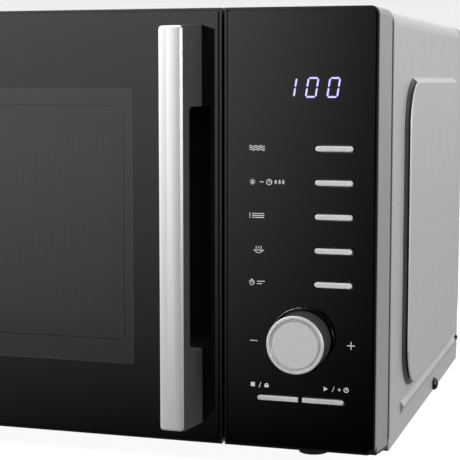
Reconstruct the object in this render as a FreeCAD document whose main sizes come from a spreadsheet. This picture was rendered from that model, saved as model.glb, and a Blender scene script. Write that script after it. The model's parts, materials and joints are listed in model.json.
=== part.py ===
"""Countertop microwave oven, 20 litre class, as a parametric FreeCAD document.

Frame: +X to the right, the front faces -Y, +Z up, millimetres. The origin is on the
surface that the oven stands on, under the middle of its overall box.
"""
import FreeCAD, Part
import math
import os
import Sketcher

Vector = FreeCAD.Vector
doc = FreeCAD.newDocument("microwave_oven")
sheet = doc.addObject("Spreadsheet::Sheet", "Sizes")


# ---------------------------------------------------------------- sizes and formulas
class Size:
    """A number that remembers the spreadsheet formula which gives it."""

    def __init__(self, value, formula):
        self.value = value
        self.formula = formula

    def __add__(self, other):
        return Size(self.value + value_of(other), f"({self.formula} + {formula_of(other)})")

    def __radd__(self, other):
        return Size(value_of(other) + self.value, f"({formula_of(other)} + {self.formula})")

    def __sub__(self, other):
        return Size(self.value - value_of(other), f"({self.formula} - {formula_of(other)})")

    def __rsub__(self, other):
        return Size(value_of(other) - self.value, f"({formula_of(other)} - {self.formula})")

    def __mul__(self, other):
        return Size(self.value * value_of(other), f"({self.formula} * {formula_of(other)})")

    __rmul__ = __mul__

    def __truediv__(self, other):
        return Size(self.value / value_of(other), f"({self.formula} / {formula_of(other)})")

    def __neg__(self):
        return Size(-self.value, f"(-1 * {self.formula})")


def value_of(number):
    return number.value if isinstance(number, Size) else float(number)


def formula_of(number):
    return number.formula if isinstance(number, Size) else f"({float(number)})"


sheet_row = 0


def size(alias, number):
    """Write one driving dimension to the sheet and return it as a Size."""
    global sheet_row
    sheet_row += 1
    sheet.set(f"A{sheet_row}", alias)
    sheet.set(f"B{sheet_row}", str(number))
    sheet.setAlias(f"B{sheet_row}", alias)
    return Size(float(number), f"Sizes.{alias}")


def bind(thing, path, number):
    """Give a property its value, by formula where the value comes from the sheet."""
    if isinstance(number, Size):
        thing.setExpression(path, number.formula)
    else:
        thing.setExpression(path, formula_of(number))


# overall front
front_left = size("front_left", -220)
front_right = size("front_right", 220)
front_bottom = size("front_bottom", 14)
front_top = size("front_top", 264)
front_corner = size("front_corner", 5)
glass_front = size("glass_front", -152)
front_rear = size("front_rear", -113.5)
rim_setback = size("rim_setback", 0.4)
rim_width = size("rim_width", 1.2)
glass_seam = size("glass_seam", 0.8)
glass_thick = size("glass_thick", 3.2)
shell_wall = size("shell_wall", 2.2)
door_right = size("door_right", 130.1)
panel_left = size("panel_left", 131.9)

# cabinet
sheet_metal = size("sheet_metal", 0.8)
cabinet_front = size("cabinet_front", -110)
cabinet_rear = size("cabinet_rear", 178)
cabinet_bottom = size("cabinet_bottom", 6)
cabinet_bend = size("cabinet_bend", 9.5)
emboss_height = size("emboss_height", 4)
emboss_front = size("emboss_front", -71)
emboss_rear = size("emboss_rear", 157)
emboss_bottom = size("emboss_bottom", 31)
emboss_top = size("emboss_top", 225.5)
emboss_corner = size("emboss_corner", 30)
emboss_slope = size("emboss_slope", 3.6)
emboss_front_slope = size("emboss_front_slope", 5)
louvre_reach = size("louvre_reach", 28)
bead_bottom = size("bead_bottom", 18.5)
bead_ridge = size("bead_ridge", 24.2)
bead_top = size("bead_top", 27.2)
bead_rise = size("bead_rise", 2)
bead_margin = size("bead_margin", 6)
front_plate_gap = size("front_plate_gap", 1.4)
side_screw_y = size("side_screw_y", 61)
side_screw_z = size("side_screw_z", 10.3)
side_head_radius = size("side_head_radius", 4.4)
screw_radius = size("screw_radius", 2)

# oven cavity
cavity_left = size("cavity_left", -198)
cavity_right = size("cavity_right", 106)
cavity_bottom = size("cavity_bottom", 28)
cavity_top = size("cavity_top", 233)
cavity_rear = size("cavity_rear", 163)
cavity_corner = size("cavity_corner", 12)

# door window and handle
window_left = size("window_left", -170)
window_right = size("window_right", 76.1)
window_bottom = size("window_bottom", 57.9)
window_top = size("window_top", 219)
handle_left = size("handle_left", 103.1)
handle_right = size("handle_right", 117)
handle_bottom = size("handle_bottom", 27.5)
handle_top = size("handle_top", 253.3)
handle_front = size("handle_front", -182)
handle_depth = size("handle_depth", 10.5)
handle_shell = size("handle_shell", 1.2)
handle_flare = size("handle_flare", 1.45)
finger_radius = size("finger_radius", 2.2)
post_upper_bottom = size("post_upper_bottom", 209)
post_lower_top = size("post_lower_top", 69.8)

# hinge and latch
hinge_x = size("hinge_x", -212)
hinge_y = size("hinge_y", -121.5)
hinge_pin_radius = size("hinge_pin_radius", 2.5)
pin_clearance = size("pin_clearance", 0.05)
hinge_slot = size("hinge_slot", 3)
hinge_rise_low = size("hinge_rise_low", 11.5)
hinge_drop_high = size("hinge_drop_high", 14.5)
leaf_thick = size("leaf_thick", 2)
boss_radius = size("boss_radius", 4.5)
hook_x = size("hook_x", 119)
hook_width = size("hook_width", 3)
hook_thick = size("hook_thick", 9)
hook_reach = size("hook_reach", 14)
hook_nose = size("hook_nose", 3)
latch_y = size("latch_y", -129)
latch_bottom = size("latch_bottom", 60)
latch_top = size("latch_top", 216)
latch_travel = size("latch_travel", 4)
spring_top = size("spring_top", 240)
spring_radius = size("spring_radius", 2.4)
spring_wire = size("spring_wire", 0.4)
spring_turns = size("spring_turns", 7)

# control panel
button_left = size("button_left", 184.8)
button_right = size("button_right", 206.2)
button_height = size("button_height", 3)
button_pitch = size("button_pitch", 19.05)
button_first = size("button_first", 185.8)
button_gap = size("button_gap", 0.8)
button_proud = size("button_proud", 0.9)
button_flange = size("button_flange", 1.2)
press_travel = size("press_travel", 1.2)
rebate = size("panel_rebate", 1)
bar_level = size("bar_level", 43.2)
bar_left = size("bar_left", 151.8)
bar_middle = size("bar_middle", 176.8)
bar_right = size("bar_right", 201.9)
bar_height = size("bar_height", 2.7)
bar_half_gap = size("bar_half_gap", 1.2)
knob_x = size("knob_x", 177.8)
knob_z = size("knob_z", 77.8)
knob_radius = size("knob_radius", 16.5)
knob_recess = size("knob_recess", 18.2)
knob_proud = size("knob_proud", 17)
shaft_radius = size("shaft_radius", 3)

# turntable
table_x = size("table_x", -46)
table_y = size("table_y", 25.6)
plate_radius = size("plate_radius", 122.5)
roller_track = size("roller_track", 90)
roller_radius = size("roller_radius", 6.85)
running_gap = size("running_gap", 0.3)

# fan
fan_x = size("fan_x", 163)
fan_y = size("fan_y", 160)
fan_z = size("fan_z", 160)
fan_radius = size("fan_radius", 46)

# feet
foot_radius = size("foot_radius", 9.75)
foot_x = size("foot_x", 172.5)
foot_front = size("foot_front", -101)
foot_rear = size("foot_rear", 140)
doc.recompute()

exports = []


def publish(thing, label):
    """Name a sub-part and put it on the list of files to write."""
    thing.Label = label
    exports.append(thing)
    return thing


# ---------------------------------------------------------------- Part workbench helpers
TURN = {
    "X": FreeCAD.Rotation(Vector(0, 1, 0), 90),
    "Y": FreeCAD.Rotation(Vector(1, 0, 0), -90),
    "Z": FreeCAD.Rotation(),
}


def place(thing, base):
    for letter, number in zip("xyz", base):
        bind(thing, f"Placement.Base.{letter}", number)


def block(name, low, high):
    """Box between its lowest and highest corners."""
    box = doc.addObject("Part::Box", name)
    for side, start, end in zip(("Length", "Width", "Height"), low, high):
        bind(box, side, end - start)
    place(box, low)
    return box


def rod(name, base, radius, length, axis="Z"):
    """Cylinder from the middle of its first end along +axis."""
    cylinder = doc.addObject("Part::Cylinder", name)
    bind(cylinder, "Radius", radius)
    bind(cylinder, "Height", length)
    cylinder.Placement = FreeCAD.Placement(Vector(), TURN[axis])
    place(cylinder, base)
    return cylinder


def cone(name, base, radius, end_radius, length, axis="Z"):
    tapered = doc.addObject("Part::Cone", name)
    bind(tapered, "Radius1", radius)
    bind(tapered, "Radius2", end_radius)
    bind(tapered, "Height", length)
    tapered.Placement = FreeCAD.Placement(Vector(), TURN[axis])
    place(tapered, base)
    return tapered


def fuse(name, pieces):
    fusion = doc.addObject("Part::MultiFuse", name)
    fusion.Shapes = pieces
    return fusion


def cut(name, base, tools):
    """Base less every tool; stops if the tools remove nothing."""
    difference = doc.addObject("Part::Cut", name)
    difference.Base = base
    difference.Tool = tools[0] if len(tools) == 1 else fuse(name + "_tools", tools)
    doc.recompute()
    if difference.Shape.Volume > base.Shape.Volume - 1e-6:
        raise RuntimeError(f"{name}: the cut removes nothing")
    return difference


def group(name, pieces):
    """Separate solids kept in one node."""
    compound = doc.addObject("Part::Compound", name)
    compound.Links = pieces
    return compound


def ring(name, base, outer, inner, length, axis="Z"):
    """Washer or tube about an axis."""
    hole = rod(name + "_bore", base, inner, length, axis)
    return cut(name, rod(name + "_disc", base, outer, length, axis), [hole])


# ---------------------------------------------------------------- PartDesign helpers
def new_body(name):
    return doc.addObject("PartDesign::Body", name)


def new_sketch(body, name, plane, offset):
    """Sketch on an origin plane, moved along that plane's axis to a coordinate.

    XZ sketches look from the front: their normal is -Y, so pads grow towards the front.
    """
    sketch = body.newObject("Sketcher::SketchObject", name)
    role = plane + "_Plane"
    origin_plane = [item for item in body.Origin.OriginFeatures if item.Role == role][0]
    sketch.AttachmentSupport = [(origin_plane, "")]
    sketch.MapMode = "FlatFace"
    bind(sketch, "AttachmentOffset.Base.z", -1 * offset if plane == "XZ" else offset)
    return sketch


def fix_point(sketch, geometry, corner, along, up):
    """Place one end (1 or 2) or centre (3) of a sketch element by two dimensions."""
    for kind, number in (("DistanceX", along), ("DistanceY", up)):
        row = sketch.addConstraint(
            Sketcher.Constraint(kind, -1, 1, geometry, corner, value_of(number)))
        bind(sketch, f"Constraints[{row}]", number)


def draw_polygon(sketch, points):
    """Closed outline of straight lines through dimensioned corners."""
    first = sketch.GeometryCount
    corners = [Vector(value_of(along), value_of(up), 0) for along, up in points]
    count = len(corners)
    for index in range(count):
        sketch.addGeometry(Part.LineSegment(corners[index], corners[(index + 1) % count]))
    for index in range(count):
        following = first + (index + 1) % count
        sketch.addConstraint(Sketcher.Constraint("Coincident", first + index, 2, following, 1))
    for index, (along, up) in enumerate(points):
        fix_point(sketch, first + index, 1, along, up)


def draw_rectangle(sketch, left, bottom, right, top):
    draw_polygon(sketch, [(left, bottom), (right, bottom), (right, top), (left, top)])


def draw_circle(sketch, along, up, radius):
    centre = Vector(value_of(along), value_of(up), 0)
    circle = sketch.addGeometry(Part.Circle(centre, Vector(0, 0, 1), value_of(radius)))
    fix_point(sketch, circle, 3, along, up)
    row = sketch.addConstraint(Sketcher.Constraint("Radius", circle, value_of(radius)))
    bind(sketch, f"Constraints[{row}]", radius)


def add_pad(body, sketch, length):
    pad = body.newObject("PartDesign::Pad", sketch.Name + "_pad")
    pad.Profile = sketch
    bind(pad, "Length", length)
    sketch.Visibility = False
    doc.recompute()
    return pad


def add_pocket(body, sketch, depth):
    """Pocket against the sketch's normal; stops if it removes nothing."""
    before = body.Shape.Volume
    pocket = body.newObject("PartDesign::Pocket", sketch.Name + "_pocket")
    pocket.Profile = sketch
    bind(pocket, "Length", depth)
    doc.recompute()
    if body.Shape.Volume > before - 1e-6:
        raise RuntimeError(f"{sketch.Name}: the pocket removes nothing")
    return pocket


def add_revolution(body, sketch, axis):
    turned = body.newObject("PartDesign::Revolution", sketch.Name + "_turned")
    turned.Profile = sketch
    turned.ReferenceAxis = (sketch, [axis])
    turned.Angle = 360
    doc.recompute()
    return turned


def edge_names(shape, wanted):
    """Names of the edges that the test accepts."""
    return [f"Edge{number}" for number, edge in enumerate(shape.Edges, 1) if wanted(edge)]


def runs_along(edge, axis):
    """True for a straight edge parallel to an axis."""
    box = edge.BoundBox
    spans = {"x": box.XLength, "y": box.YLength, "z": box.ZLength}
    along = spans.pop(axis)
    return along > max(spans.values()) and max(spans.values()) < 1e-4


def round_edges(body, radius, wanted, kind="Fillet"):
    """Fillet or chamfer on the edges of the body that the test accepts."""
    base = body.Tip
    names = edge_names(base.Shape, wanted)
    if not names:
        raise RuntimeError(f"{body.Name}: no edges to round")
    dressed = body.newObject(f"PartDesign::{kind}", f"{body.Name}_{kind.lower()}")
    dressed.Base = (base, names)
    bind(dressed, "Radius" if kind == "Fillet" else "Size", radius)
    doc.recompute()
    return dressed


def slab(name, left, bottom, right, top, rear, front):
    """Upright plate drawn from the front: a body with one pad from rear to front."""
    body = new_body(name)
    outline = new_sketch(body, name + "_outline", "XZ", rear)
    draw_rectangle(outline, left, bottom, right, top)
    add_pad(body, outline, rear - front)
    return body


def opening(body, name, left, bottom, right, top, front, depth):
    """Rectangular pocket cut from a front coordinate towards the rear."""
    sketch = new_sketch(body, name, "XZ", front)
    draw_rectangle(sketch, left, bottom, right, top)
    return add_pocket(body, sketch, depth)


def draw_rounded_rectangle(sketch, left, bottom, right, top, radius):
    """Rectangle whose four corners are arcs of one radius."""
    first = sketch.GeometryCount
    low = Vector(value_of(left), value_of(bottom), 0)
    high = Vector(value_of(right), value_of(top), 0)
    bend = value_of(radius)
    corners = [
        (Vector(high.x, low.y, 0), Vector(-bend, bend, 0), 1.5),
        (Vector(high.x, high.y, 0), Vector(-bend, -bend, 0), 0.0),
        (Vector(low.x, high.y, 0), Vector(bend, -bend, 0), 0.5),
        (Vector(low.x, low.y, 0), Vector(bend, bend, 0), 1.0),
    ]
    sides = [
        (Vector(low.x + bend, low.y, 0), Vector(high.x - bend, low.y, 0)),
        (Vector(high.x, low.y + bend, 0), Vector(high.x, high.y - bend, 0)),
        (Vector(high.x - bend, high.y, 0), Vector(low.x + bend, high.y, 0)),
        (Vector(low.x, high.y - bend, 0), Vector(low.x, low.y + bend, 0)),
    ]
    for side, (corner, inset, start) in zip(sides, corners):
        sketch.addGeometry(Part.LineSegment(*side))
        circle = Part.Circle(corner + inset, Vector(0, 0, 1), bend)
        sketch.addGeometry(
            Part.ArcOfCircle(circle, start * math.pi, (start + 0.5) * math.pi))
    for index in range(0, 8, 2):
        line, arc = first + index, first + index + 1
        following = first + (index + 2) % 8
        sketch.addConstraint(Sketcher.Constraint("Tangent", line, 2, arc, 1))
        sketch.addConstraint(Sketcher.Constraint("Tangent", arc, 2, following, 1))
        direction = "Horizontal" if index % 4 == 0 else "Vertical"
        sketch.addConstraint(Sketcher.Constraint(direction, line))
        if index:
            sketch.addConstraint(Sketcher.Constraint("Equal", first + 1, arc))
    spans = (("DistanceY", 0, bottom), ("DistanceX", 2, right),
             ("DistanceY", 4, top), ("DistanceX", 6, left))
    for kind, line, number in spans:
        row = sketch.addConstraint(
            Sketcher.Constraint(kind, -1, 1, first + line, 1, value_of(number)))
        bind(sketch, f"Constraints[{row}]", number)
    row = sketch.addConstraint(Sketcher.Constraint("Radius", first + 1, bend))
    bind(sketch, f"Constraints[{row}]", radius)


def rounded_slab(name, left, bottom, right, top, radius, rear, front):
    body = new_body(name)
    outline = new_sketch(body, name + "_outline", "XZ", rear)
    draw_rounded_rectangle(outline, left, bottom, right, top, radius)
    add_pad(body, outline, rear - front)
    return body


def rounded_opening(body, name, left, bottom, right, top, radius, front, depth):
    sketch = new_sketch(body, name, "XZ", front)
    draw_rounded_rectangle(sketch, left, bottom, right, top, radius)
    return add_pocket(body, sketch, depth)


def draw_side_rounded(sketch, left, bottom, right, top, radius, side):
    """Rectangle with arcs at the two corners of its "left" or "right" side."""
    if side == "left":
        inner = left + radius
        points = [(inner, bottom), (right, bottom), (right, top), (inner, top),
                  (left, top - radius), (left, bottom + radius)]
        arcs = {3: (inner, top - radius, 0.5), 5: (inner, bottom + radius, 1.0)}
    else:
        inner = right - radius
        points = [(left, bottom), (inner, bottom), (right, bottom + radius),
                  (right, top - radius), (inner, top), (left, top)]
        arcs = {1: (inner, bottom + radius, 1.5), 3: (inner, top - radius, 0.0)}
    first = sketch.GeometryCount
    corners = [Vector(value_of(along), value_of(up), 0) for along, up in points]
    count = len(corners)
    for index in range(count):
        if index in arcs:
            along, up, start = arcs[index]
            circle = Part.Circle(Vector(value_of(along), value_of(up), 0), Vector(0, 0, 1),
                                 value_of(radius))
            sketch.addGeometry(
                Part.ArcOfCircle(circle, start * math.pi, (start + 0.5) * math.pi))
        else:
            sketch.addGeometry(Part.LineSegment(corners[index], corners[(index + 1) % count]))
    for index in range(count):
        following = first + (index + 1) % count
        sketch.addConstraint(Sketcher.Constraint("Coincident", first + index, 2, following, 1))
    for index, (along, up) in enumerate(points):
        fix_point(sketch, first + index, 1, along, up)
    for index in arcs:
        row = sketch.addConstraint(
            Sketcher.Constraint("Radius", first + index, value_of(radius)))
        bind(sketch, f"Constraints[{row}]", radius)


def side_slab(name, left, bottom, right, top, radius, side, rear, front):
    body = new_body(name)
    outline = new_sketch(body, name + "_outline", "XZ", rear)
    draw_side_rounded(outline, left, bottom, right, top, radius, side)
    add_pad(body, outline, rear - front)
    return body


def side_opening(body, name, left, bottom, right, top, radius, side, front, depth):
    sketch = new_sketch(body, name, "XZ", front)
    draw_side_rounded(sketch, left, bottom, right, top, radius, side)
    return add_pocket(body, sketch, depth)


# ================================================================ front: shared depths
glass_rear = glass_front + glass_thick
rim_front = glass_front + rim_setback
floor_rear = glass_rear + shell_wall
glass_inset = rim_width + glass_seam
glass_corner = front_corner - glass_inset
recess_corner = front_corner - rim_width


# ---------------------------------------------------------------- door
hinge_levels = ((front_bottom + hinge_rise_low, -1), (front_top - hinge_drop_high, 1))
handle_middle = (handle_left + handle_right) / 2
post_middles = ((handle_bottom + post_lower_top) / 2, (post_upper_bottom + handle_top) / 2)
boss_end_low = front_bottom + shell_wall
boss_end_high = front_top - shell_wall


def hinge_span(level, side):
    """Lower and upper ends of the boss below (-1) or above (1) a hinge slot's level."""
    if side < 0:
        return boss_end_low, level
    return level + hinge_slot, boss_end_high


def make_door_frame():
    shell = side_slab("door_shell", front_left, front_bottom, door_right, front_top,
                      front_corner, "left", front_rear, rim_front)
    round_edges(shell, front_rear - hinge_y,
                lambda edge: runs_along(edge, "z")
                and edge.CenterOfMass.x < front_left.value + 0.01
                and edge.CenterOfMass.y > front_rear.value - 0.01)
    side_opening(shell, "door_recess", front_left + rim_width, front_bottom + rim_width,
                 door_right - rim_width, front_top - rim_width, recess_corner, "left",
                 rim_front, glass_rear - rim_front)
    opening(shell, "door_window", window_left, window_bottom, window_right, window_top,
            glass_rear, shell_wall)
    hollow = new_sketch(shell, "door_hollow", "XZ", floor_rear)
    draw_rectangle(hollow, front_left + shell_wall, front_bottom + shell_wall,
                   door_right - shell_wall, front_top - shell_wall)
    add_pocket(shell, hollow, front_rear - floor_rear)
    bosses = []
    tools = [rod(f"handle_hole_{index}", (handle_middle, glass_rear - 1, level), screw_radius,
                 shell_wall + 2, "Y") for index, level in enumerate(post_middles)]
    for index, (level, side) in enumerate(hinge_levels):
        low, high = hinge_span(level, side)
        bosses.append(rod(f"hinge_boss_{index}", (hinge_x, hinge_y, low), boss_radius, high - low))
        tools.append(rod(f"hinge_bore_{index}", (hinge_x, hinge_y, low), hinge_pin_radius,
                         high - low))
        tools.append(block(f"hinge_slot_{index}", (front_left - 1, hinge_y - 7, level),
                           (hinge_x + 5, front_rear + 1, level + hinge_slot)))
    ledge = block("spring_ledge", (hook_x - 4, latch_y - 5, spring_top),
                  (door_right - 1, latch_y + 5, spring_top + 3))
    return publish(cut("door_frame_cut", fuse("door_frame_solid", [shell, ledge] + bosses), tools),
                   "door_frame")


make_door_frame()


def make_door_glass():
    glass = side_slab("door_pane", front_left + glass_inset, front_bottom + glass_inset,
                      door_right - glass_inset, front_top - glass_inset, glass_corner, "left",
                      glass_rear, glass_front)
    holes = [rod(f"glass_hole_{index}", (handle_middle, glass_front - 1, level), screw_radius,
                 glass_thick + 2, "Y") for index, level in enumerate(post_middles)]
    publish(cut("door_glass_cut", glass, holes), "door_glass")


make_door_glass()

pan_left = size("pan_left", -206)
pan_right = size("pan_right", 116)
pan_bottom = size("pan_bottom", 22)
pan_top = size("pan_top", 240)
cover_front = front_rear - 2.5


def make_door_screen():
    """Pressed steel screen: a flat back with choke walls that reach the inner cover."""
    pan = slab("screen_pan", pan_left, pan_bottom, pan_right, pan_top, cover_front, floor_rear)
    hollow = new_sketch(pan, "screen_hollow", "XZ", floor_rear + sheet_metal)
    draw_rectangle(hollow, pan_left + sheet_metal, pan_bottom + sheet_metal,
                   pan_right - sheet_metal, pan_top - sheet_metal)
    add_pocket(pan, hollow, cover_front - floor_rear - sheet_metal)
    frame_left, frame_right = window_left + 8, window_right - 8
    frame_bottom, frame_top = window_bottom + 8, window_top - 8
    lip = cut("screen_lip", block("screen_lip_outer",
                                  (frame_left, floor_rear + sheet_metal, frame_bottom),
                                  (frame_right, floor_rear + 6, frame_top)),
              [block("screen_lip_inner",
                     (frame_left + sheet_metal, floor_rear, frame_bottom + sheet_metal),
                     (frame_right - sheet_metal, floor_rear + 7, frame_top - sheet_metal))])
    heads = [rod(f"screen_hole_{index}", (handle_middle, floor_rear - 1, level),
                 screw_radius * 2.2, sheet_metal + 2, "Y")
             for index, level in enumerate(post_middles)]
    publish(cut("door_screen_cut", fuse("door_screen_solid", [pan, lip]), heads), "door_screen")


make_door_screen()

cover_left = size("cover_left", -214)
cover_window_left = size("cover_window_left", -162)
cover_window_right = size("cover_window_right", 68)
cover_window_bottom = size("cover_window_bottom", 66)
cover_window_top = size("cover_window_top", 211)
hook_levels = (latch_bottom + 14, latch_top - 26)


def make_door_inner_cover():
    cover = rounded_slab("choke_cover", cover_left, front_bottom + 5, door_right - 4,
                         front_top - 5, 4, front_rear, cover_front)
    rounded_opening(cover, "cover_window", cover_window_left, cover_window_bottom,
                    cover_window_right, cover_window_top, 6, cover_front, 2.5)
    tools = [block(f"cover_slot_{index}", (cover_left - 1, cover_front - 1, level - 0.3),
                   (hinge_x + 5, front_rear + 1, level + hinge_slot + 0.3))
             for index, (level, side) in enumerate(hinge_levels)]
    for index, level in enumerate(hook_levels):
        tools.append(block(f"cover_hook_slot_{index}",
                           (hook_x - hook_width, cover_front - 1, level - 3),
                           (hook_x + hook_width, front_rear + 1,
                            level + hook_thick + latch_travel + 2)))
    rim = cut("cover_rim", block("cover_rim_outer",
                                 (cover_window_left - 3, cover_front - 6, cover_window_bottom - 3),
                                 (cover_window_right + 3, cover_front, cover_window_top + 3)),
              [block("cover_rim_inner",
                     (cover_window_left, cover_front - 7, cover_window_bottom),
                     (cover_window_right, cover_front + 1, cover_window_top))])
    publish(cut("door_cover_cut", fuse("door_cover_solid", [cover, rim]), tools),
            "door_inner_cover")


make_door_inner_cover()
publish(block("window_sheet",
              (cover_window_left - 8, cover_front - 7.5, cover_window_bottom - 8),
              (cover_window_right + 8, cover_front - 6, cover_window_top + 8)), "door_window_film")


# ---------------------------------------------------------------- handle
def make_handle():
    back = handle_front + handle_depth
    face = handle_front + handle_shell
    core = new_body("handle_core")
    outlines = []
    for end, flare, depth in (("foot", handle_flare, glass_front), ("face", 0, face)):
        outline = new_sketch(core, f"handle_{end}", "XZ", depth)
        draw_rectangle(outline, handle_left - flare, handle_bottom - flare,
                       handle_right + flare, handle_top + flare)
        outlines.append(outline)
    drafted = core.newObject("PartDesign::AdditiveLoft", "handle_draft")
    drafted.Profile = outlines[0]
    drafted.Sections = [outlines[1]]
    drafted.Ruled = True
    doc.recompute()
    opening(core, "finger_gap", handle_left - 2, post_lower_top, handle_right + 2,
            post_upper_bottom, back, glass_front - back)
    round_edges(core, finger_radius, lambda edge: runs_along(edge, "x")
                and abs(edge.CenterOfMass.y - back.value) < 0.01
                and post_lower_top.value - 1 < edge.CenterOfMass.z < post_upper_bottom.value + 1)
    threads = [rod(f"handle_thread_{index}", (handle_middle, glass_front - 12, level),
                   screw_radius, 12, "Y") for index, level in enumerate(post_middles)]
    publish(cut("handle_base_cut", core, threads), "handle_base")
    skin = slab("handle_skin", handle_left, handle_bottom, handle_right, handle_top,
                face, handle_front)
    round_edges(skin, 0.8, lambda edge: edge.CenterOfMass.y < handle_front.value + 0.01,
                "Chamfer")
    publish(skin, "handle_bar")
    screws = []
    for index, level in enumerate(post_middles):
        shank = rod(f"handle_shank_{index}", (handle_middle, glass_front - 12, level),
                    screw_radius, floor_rear - glass_front + 12, "Y")
        head = rod(f"handle_head_{index}", (handle_middle, floor_rear, level),
                   screw_radius * 1.9, 2.2, "Y")
        screws.append(fuse(f"handle_screw_{index}", [shank, head]))
    publish(group("handle_screw_set", screws), "handle_screws")


make_handle()


# ---------------------------------------------------------------- hinges
def make_hinges():
    pins = []
    brackets = []
    for index, (level, side) in enumerate(hinge_levels):
        low, high = hinge_span(level, side)
        start = low if side < 0 else level - 4
        end = level + hinge_slot + 4 if side < 0 else high
        pins.append(rod(f"hinge_pin_{index}", (hinge_x, hinge_y, start), hinge_pin_radius,
                        end - start))
        leaf_low = level + (hinge_slot - leaf_thick) / 2
        leaf = fuse(f"hinge_leaf_{index}", [
            rod(f"leaf_eye_{index}", (hinge_x, hinge_y, leaf_low), boss_radius, leaf_thick),
            block(f"leaf_arm_{index}", (hinge_x - boss_radius, hinge_y, leaf_low),
                  (hinge_x + boss_radius, plate_rear, leaf_low + leaf_thick)),
            block(f"leaf_foot_{index}", (hinge_x - boss_radius, plate_rear, leaf_low - 9),
                  (hinge_x + boss_radius, plate_rear + leaf_thick, leaf_low + 11)),
        ])
        eye = rod(f"leaf_bore_{index}", (hinge_x, hinge_y, leaf_low - 1),
                  hinge_pin_radius + pin_clearance, leaf_thick + 2)
        brackets.append(cut(f"hinge_bracket_{index}", leaf, [eye]))
    publish(group("hinge_pin_pair", pins), "hinge_pins")
    publish(group("hinge_bracket_pair", brackets), "hinge_brackets")


plate_front = front_rear + front_plate_gap
plate_rear = plate_front + sheet_metal
make_hinges()


# ---------------------------------------------------------------- latch
def make_latch():
    low, high = hook_x - hook_width / 2, hook_x + hook_width / 2
    pieces = [block("latch_bar", (low, latch_y - 3, latch_bottom), (high, latch_y + 3, latch_top))]
    for index, level in enumerate(hook_levels):
        pieces.append(block(f"hook_arm_{index}", (low, latch_y, level + hook_nose),
                            (high, plate_front + hook_reach, level + hook_thick)))
        pieces.append(block(f"hook_nose_{index}", (low, plate_front + hook_reach - 6, level),
                            (high, plate_front + hook_reach, level + hook_nose)))
    publish(fuse("latch_slide", pieces), "latch_hooks")
    coil = new_body("latch_coil")
    wire = new_sketch(coil, "coil_wire", "XZ", 0)
    draw_circle(wire, spring_radius, 0, spring_wire)
    turns = coil.newObject("PartDesign::AdditiveHelix", "coil_turns")
    turns.Profile = wire
    turns.ReferenceAxis = (wire, ["V_Axis"])
    turns.Mode = "pitch-height-angle"
    end_gap = 0.1
    coil_height = spring_top - latch_top - spring_wire * 2 - end_gap * 2
    bind(turns, "Pitch", coil_height / spring_turns)
    bind(turns, "Height", coil_height)
    place(coil, (hook_x, latch_y, latch_top + spring_wire + end_gap))
    doc.recompute()
    publish(coil, "latch_spring")


make_latch()


# ================================================================ control panel
board_front = size("board_front", -139)
board_thick = size("board_thick", 1.6)
board_left = size("board_left", 141)
board_right = size("board_right", 211)
board_bottom = size("board_bottom", 30)
board_top = size("board_top", 240)
display_left = size("display_left", 151.2)
display_right = size("display_right", 201.8)
display_bottom = size("display_bottom", 208.7)
display_top = size("display_top", 231.3)

# each button: name, left, right, middle height, half of its height, ends that are round
key_half = button_height / 2
bar_half = bar_height / 2
buttons = []
for index, word in enumerate(("micro", "defrost", "menu", "reheat", "timer")):
    level = button_first - button_pitch * index
    buttons.append((word, button_left, button_right, level, key_half, "both"))
buttons.append(("stop", bar_left, bar_middle - bar_half_gap, bar_level, bar_half, "left"))
buttons.append(("start", bar_middle + bar_half_gap, bar_right, bar_level, bar_half, "right"))


def is_end(edge, left, ends):
    """True for a corner edge of a button at an end that is round."""
    if not runs_along(edge, "y"):
        return False
    at_left = abs(edge.CenterOfMass.x - value_of(left)) < 0.01
    return ends == "both" or at_left == (ends == "left")


def button_outline(word, left, right, level, half_high, ends, margin, rear, front):
    """Bar with half-round ends, larger all round by a margin."""
    bar = slab(word, left - margin, level - half_high - margin, right + margin,
               level + half_high + margin, rear, front)
    round_edges(bar, (half_high + margin) * 0.98,
                lambda edge: is_end(edge, left - margin, ends))
    return bar


def make_buttons():
    key_foot_front = floor_rear + running_gap
    for word, left, right, level, half_high, ends in buttons:
        cap = button_outline(f"cap_{word}", left, right, level, half_high, ends, 0,
                             key_foot_front, glass_front - button_proud)
        round_edges(cap, 0.35, lambda edge: edge.CenterOfMass.y
                    < glass_front.value - button_proud.value + 0.01)
        left_flange = 0 if ends == "right" else button_flange
        right_flange = 0 if ends == "left" else button_flange
        foot = block(f"foot_{word}",
                     (left - left_flange, key_foot_front, level - half_high - button_flange),
                     (right + right_flange, key_foot_rear, level + half_high + button_flange))
        publish(fuse(f"solid_{word}", [cap, foot]), f"button_{word}")


key_foot_rear = floor_rear + 1.5
make_buttons()


def panel_openings(tag, front, depth):
    """Button clearances through the glass or the frame behind it."""
    return [button_outline(f"{tag}_{word}", left, right, level, half_high, ends, button_gap,
                           front + depth + 1, front - 1)
            for word, left, right, level, half_high, ends in buttons]


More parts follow.
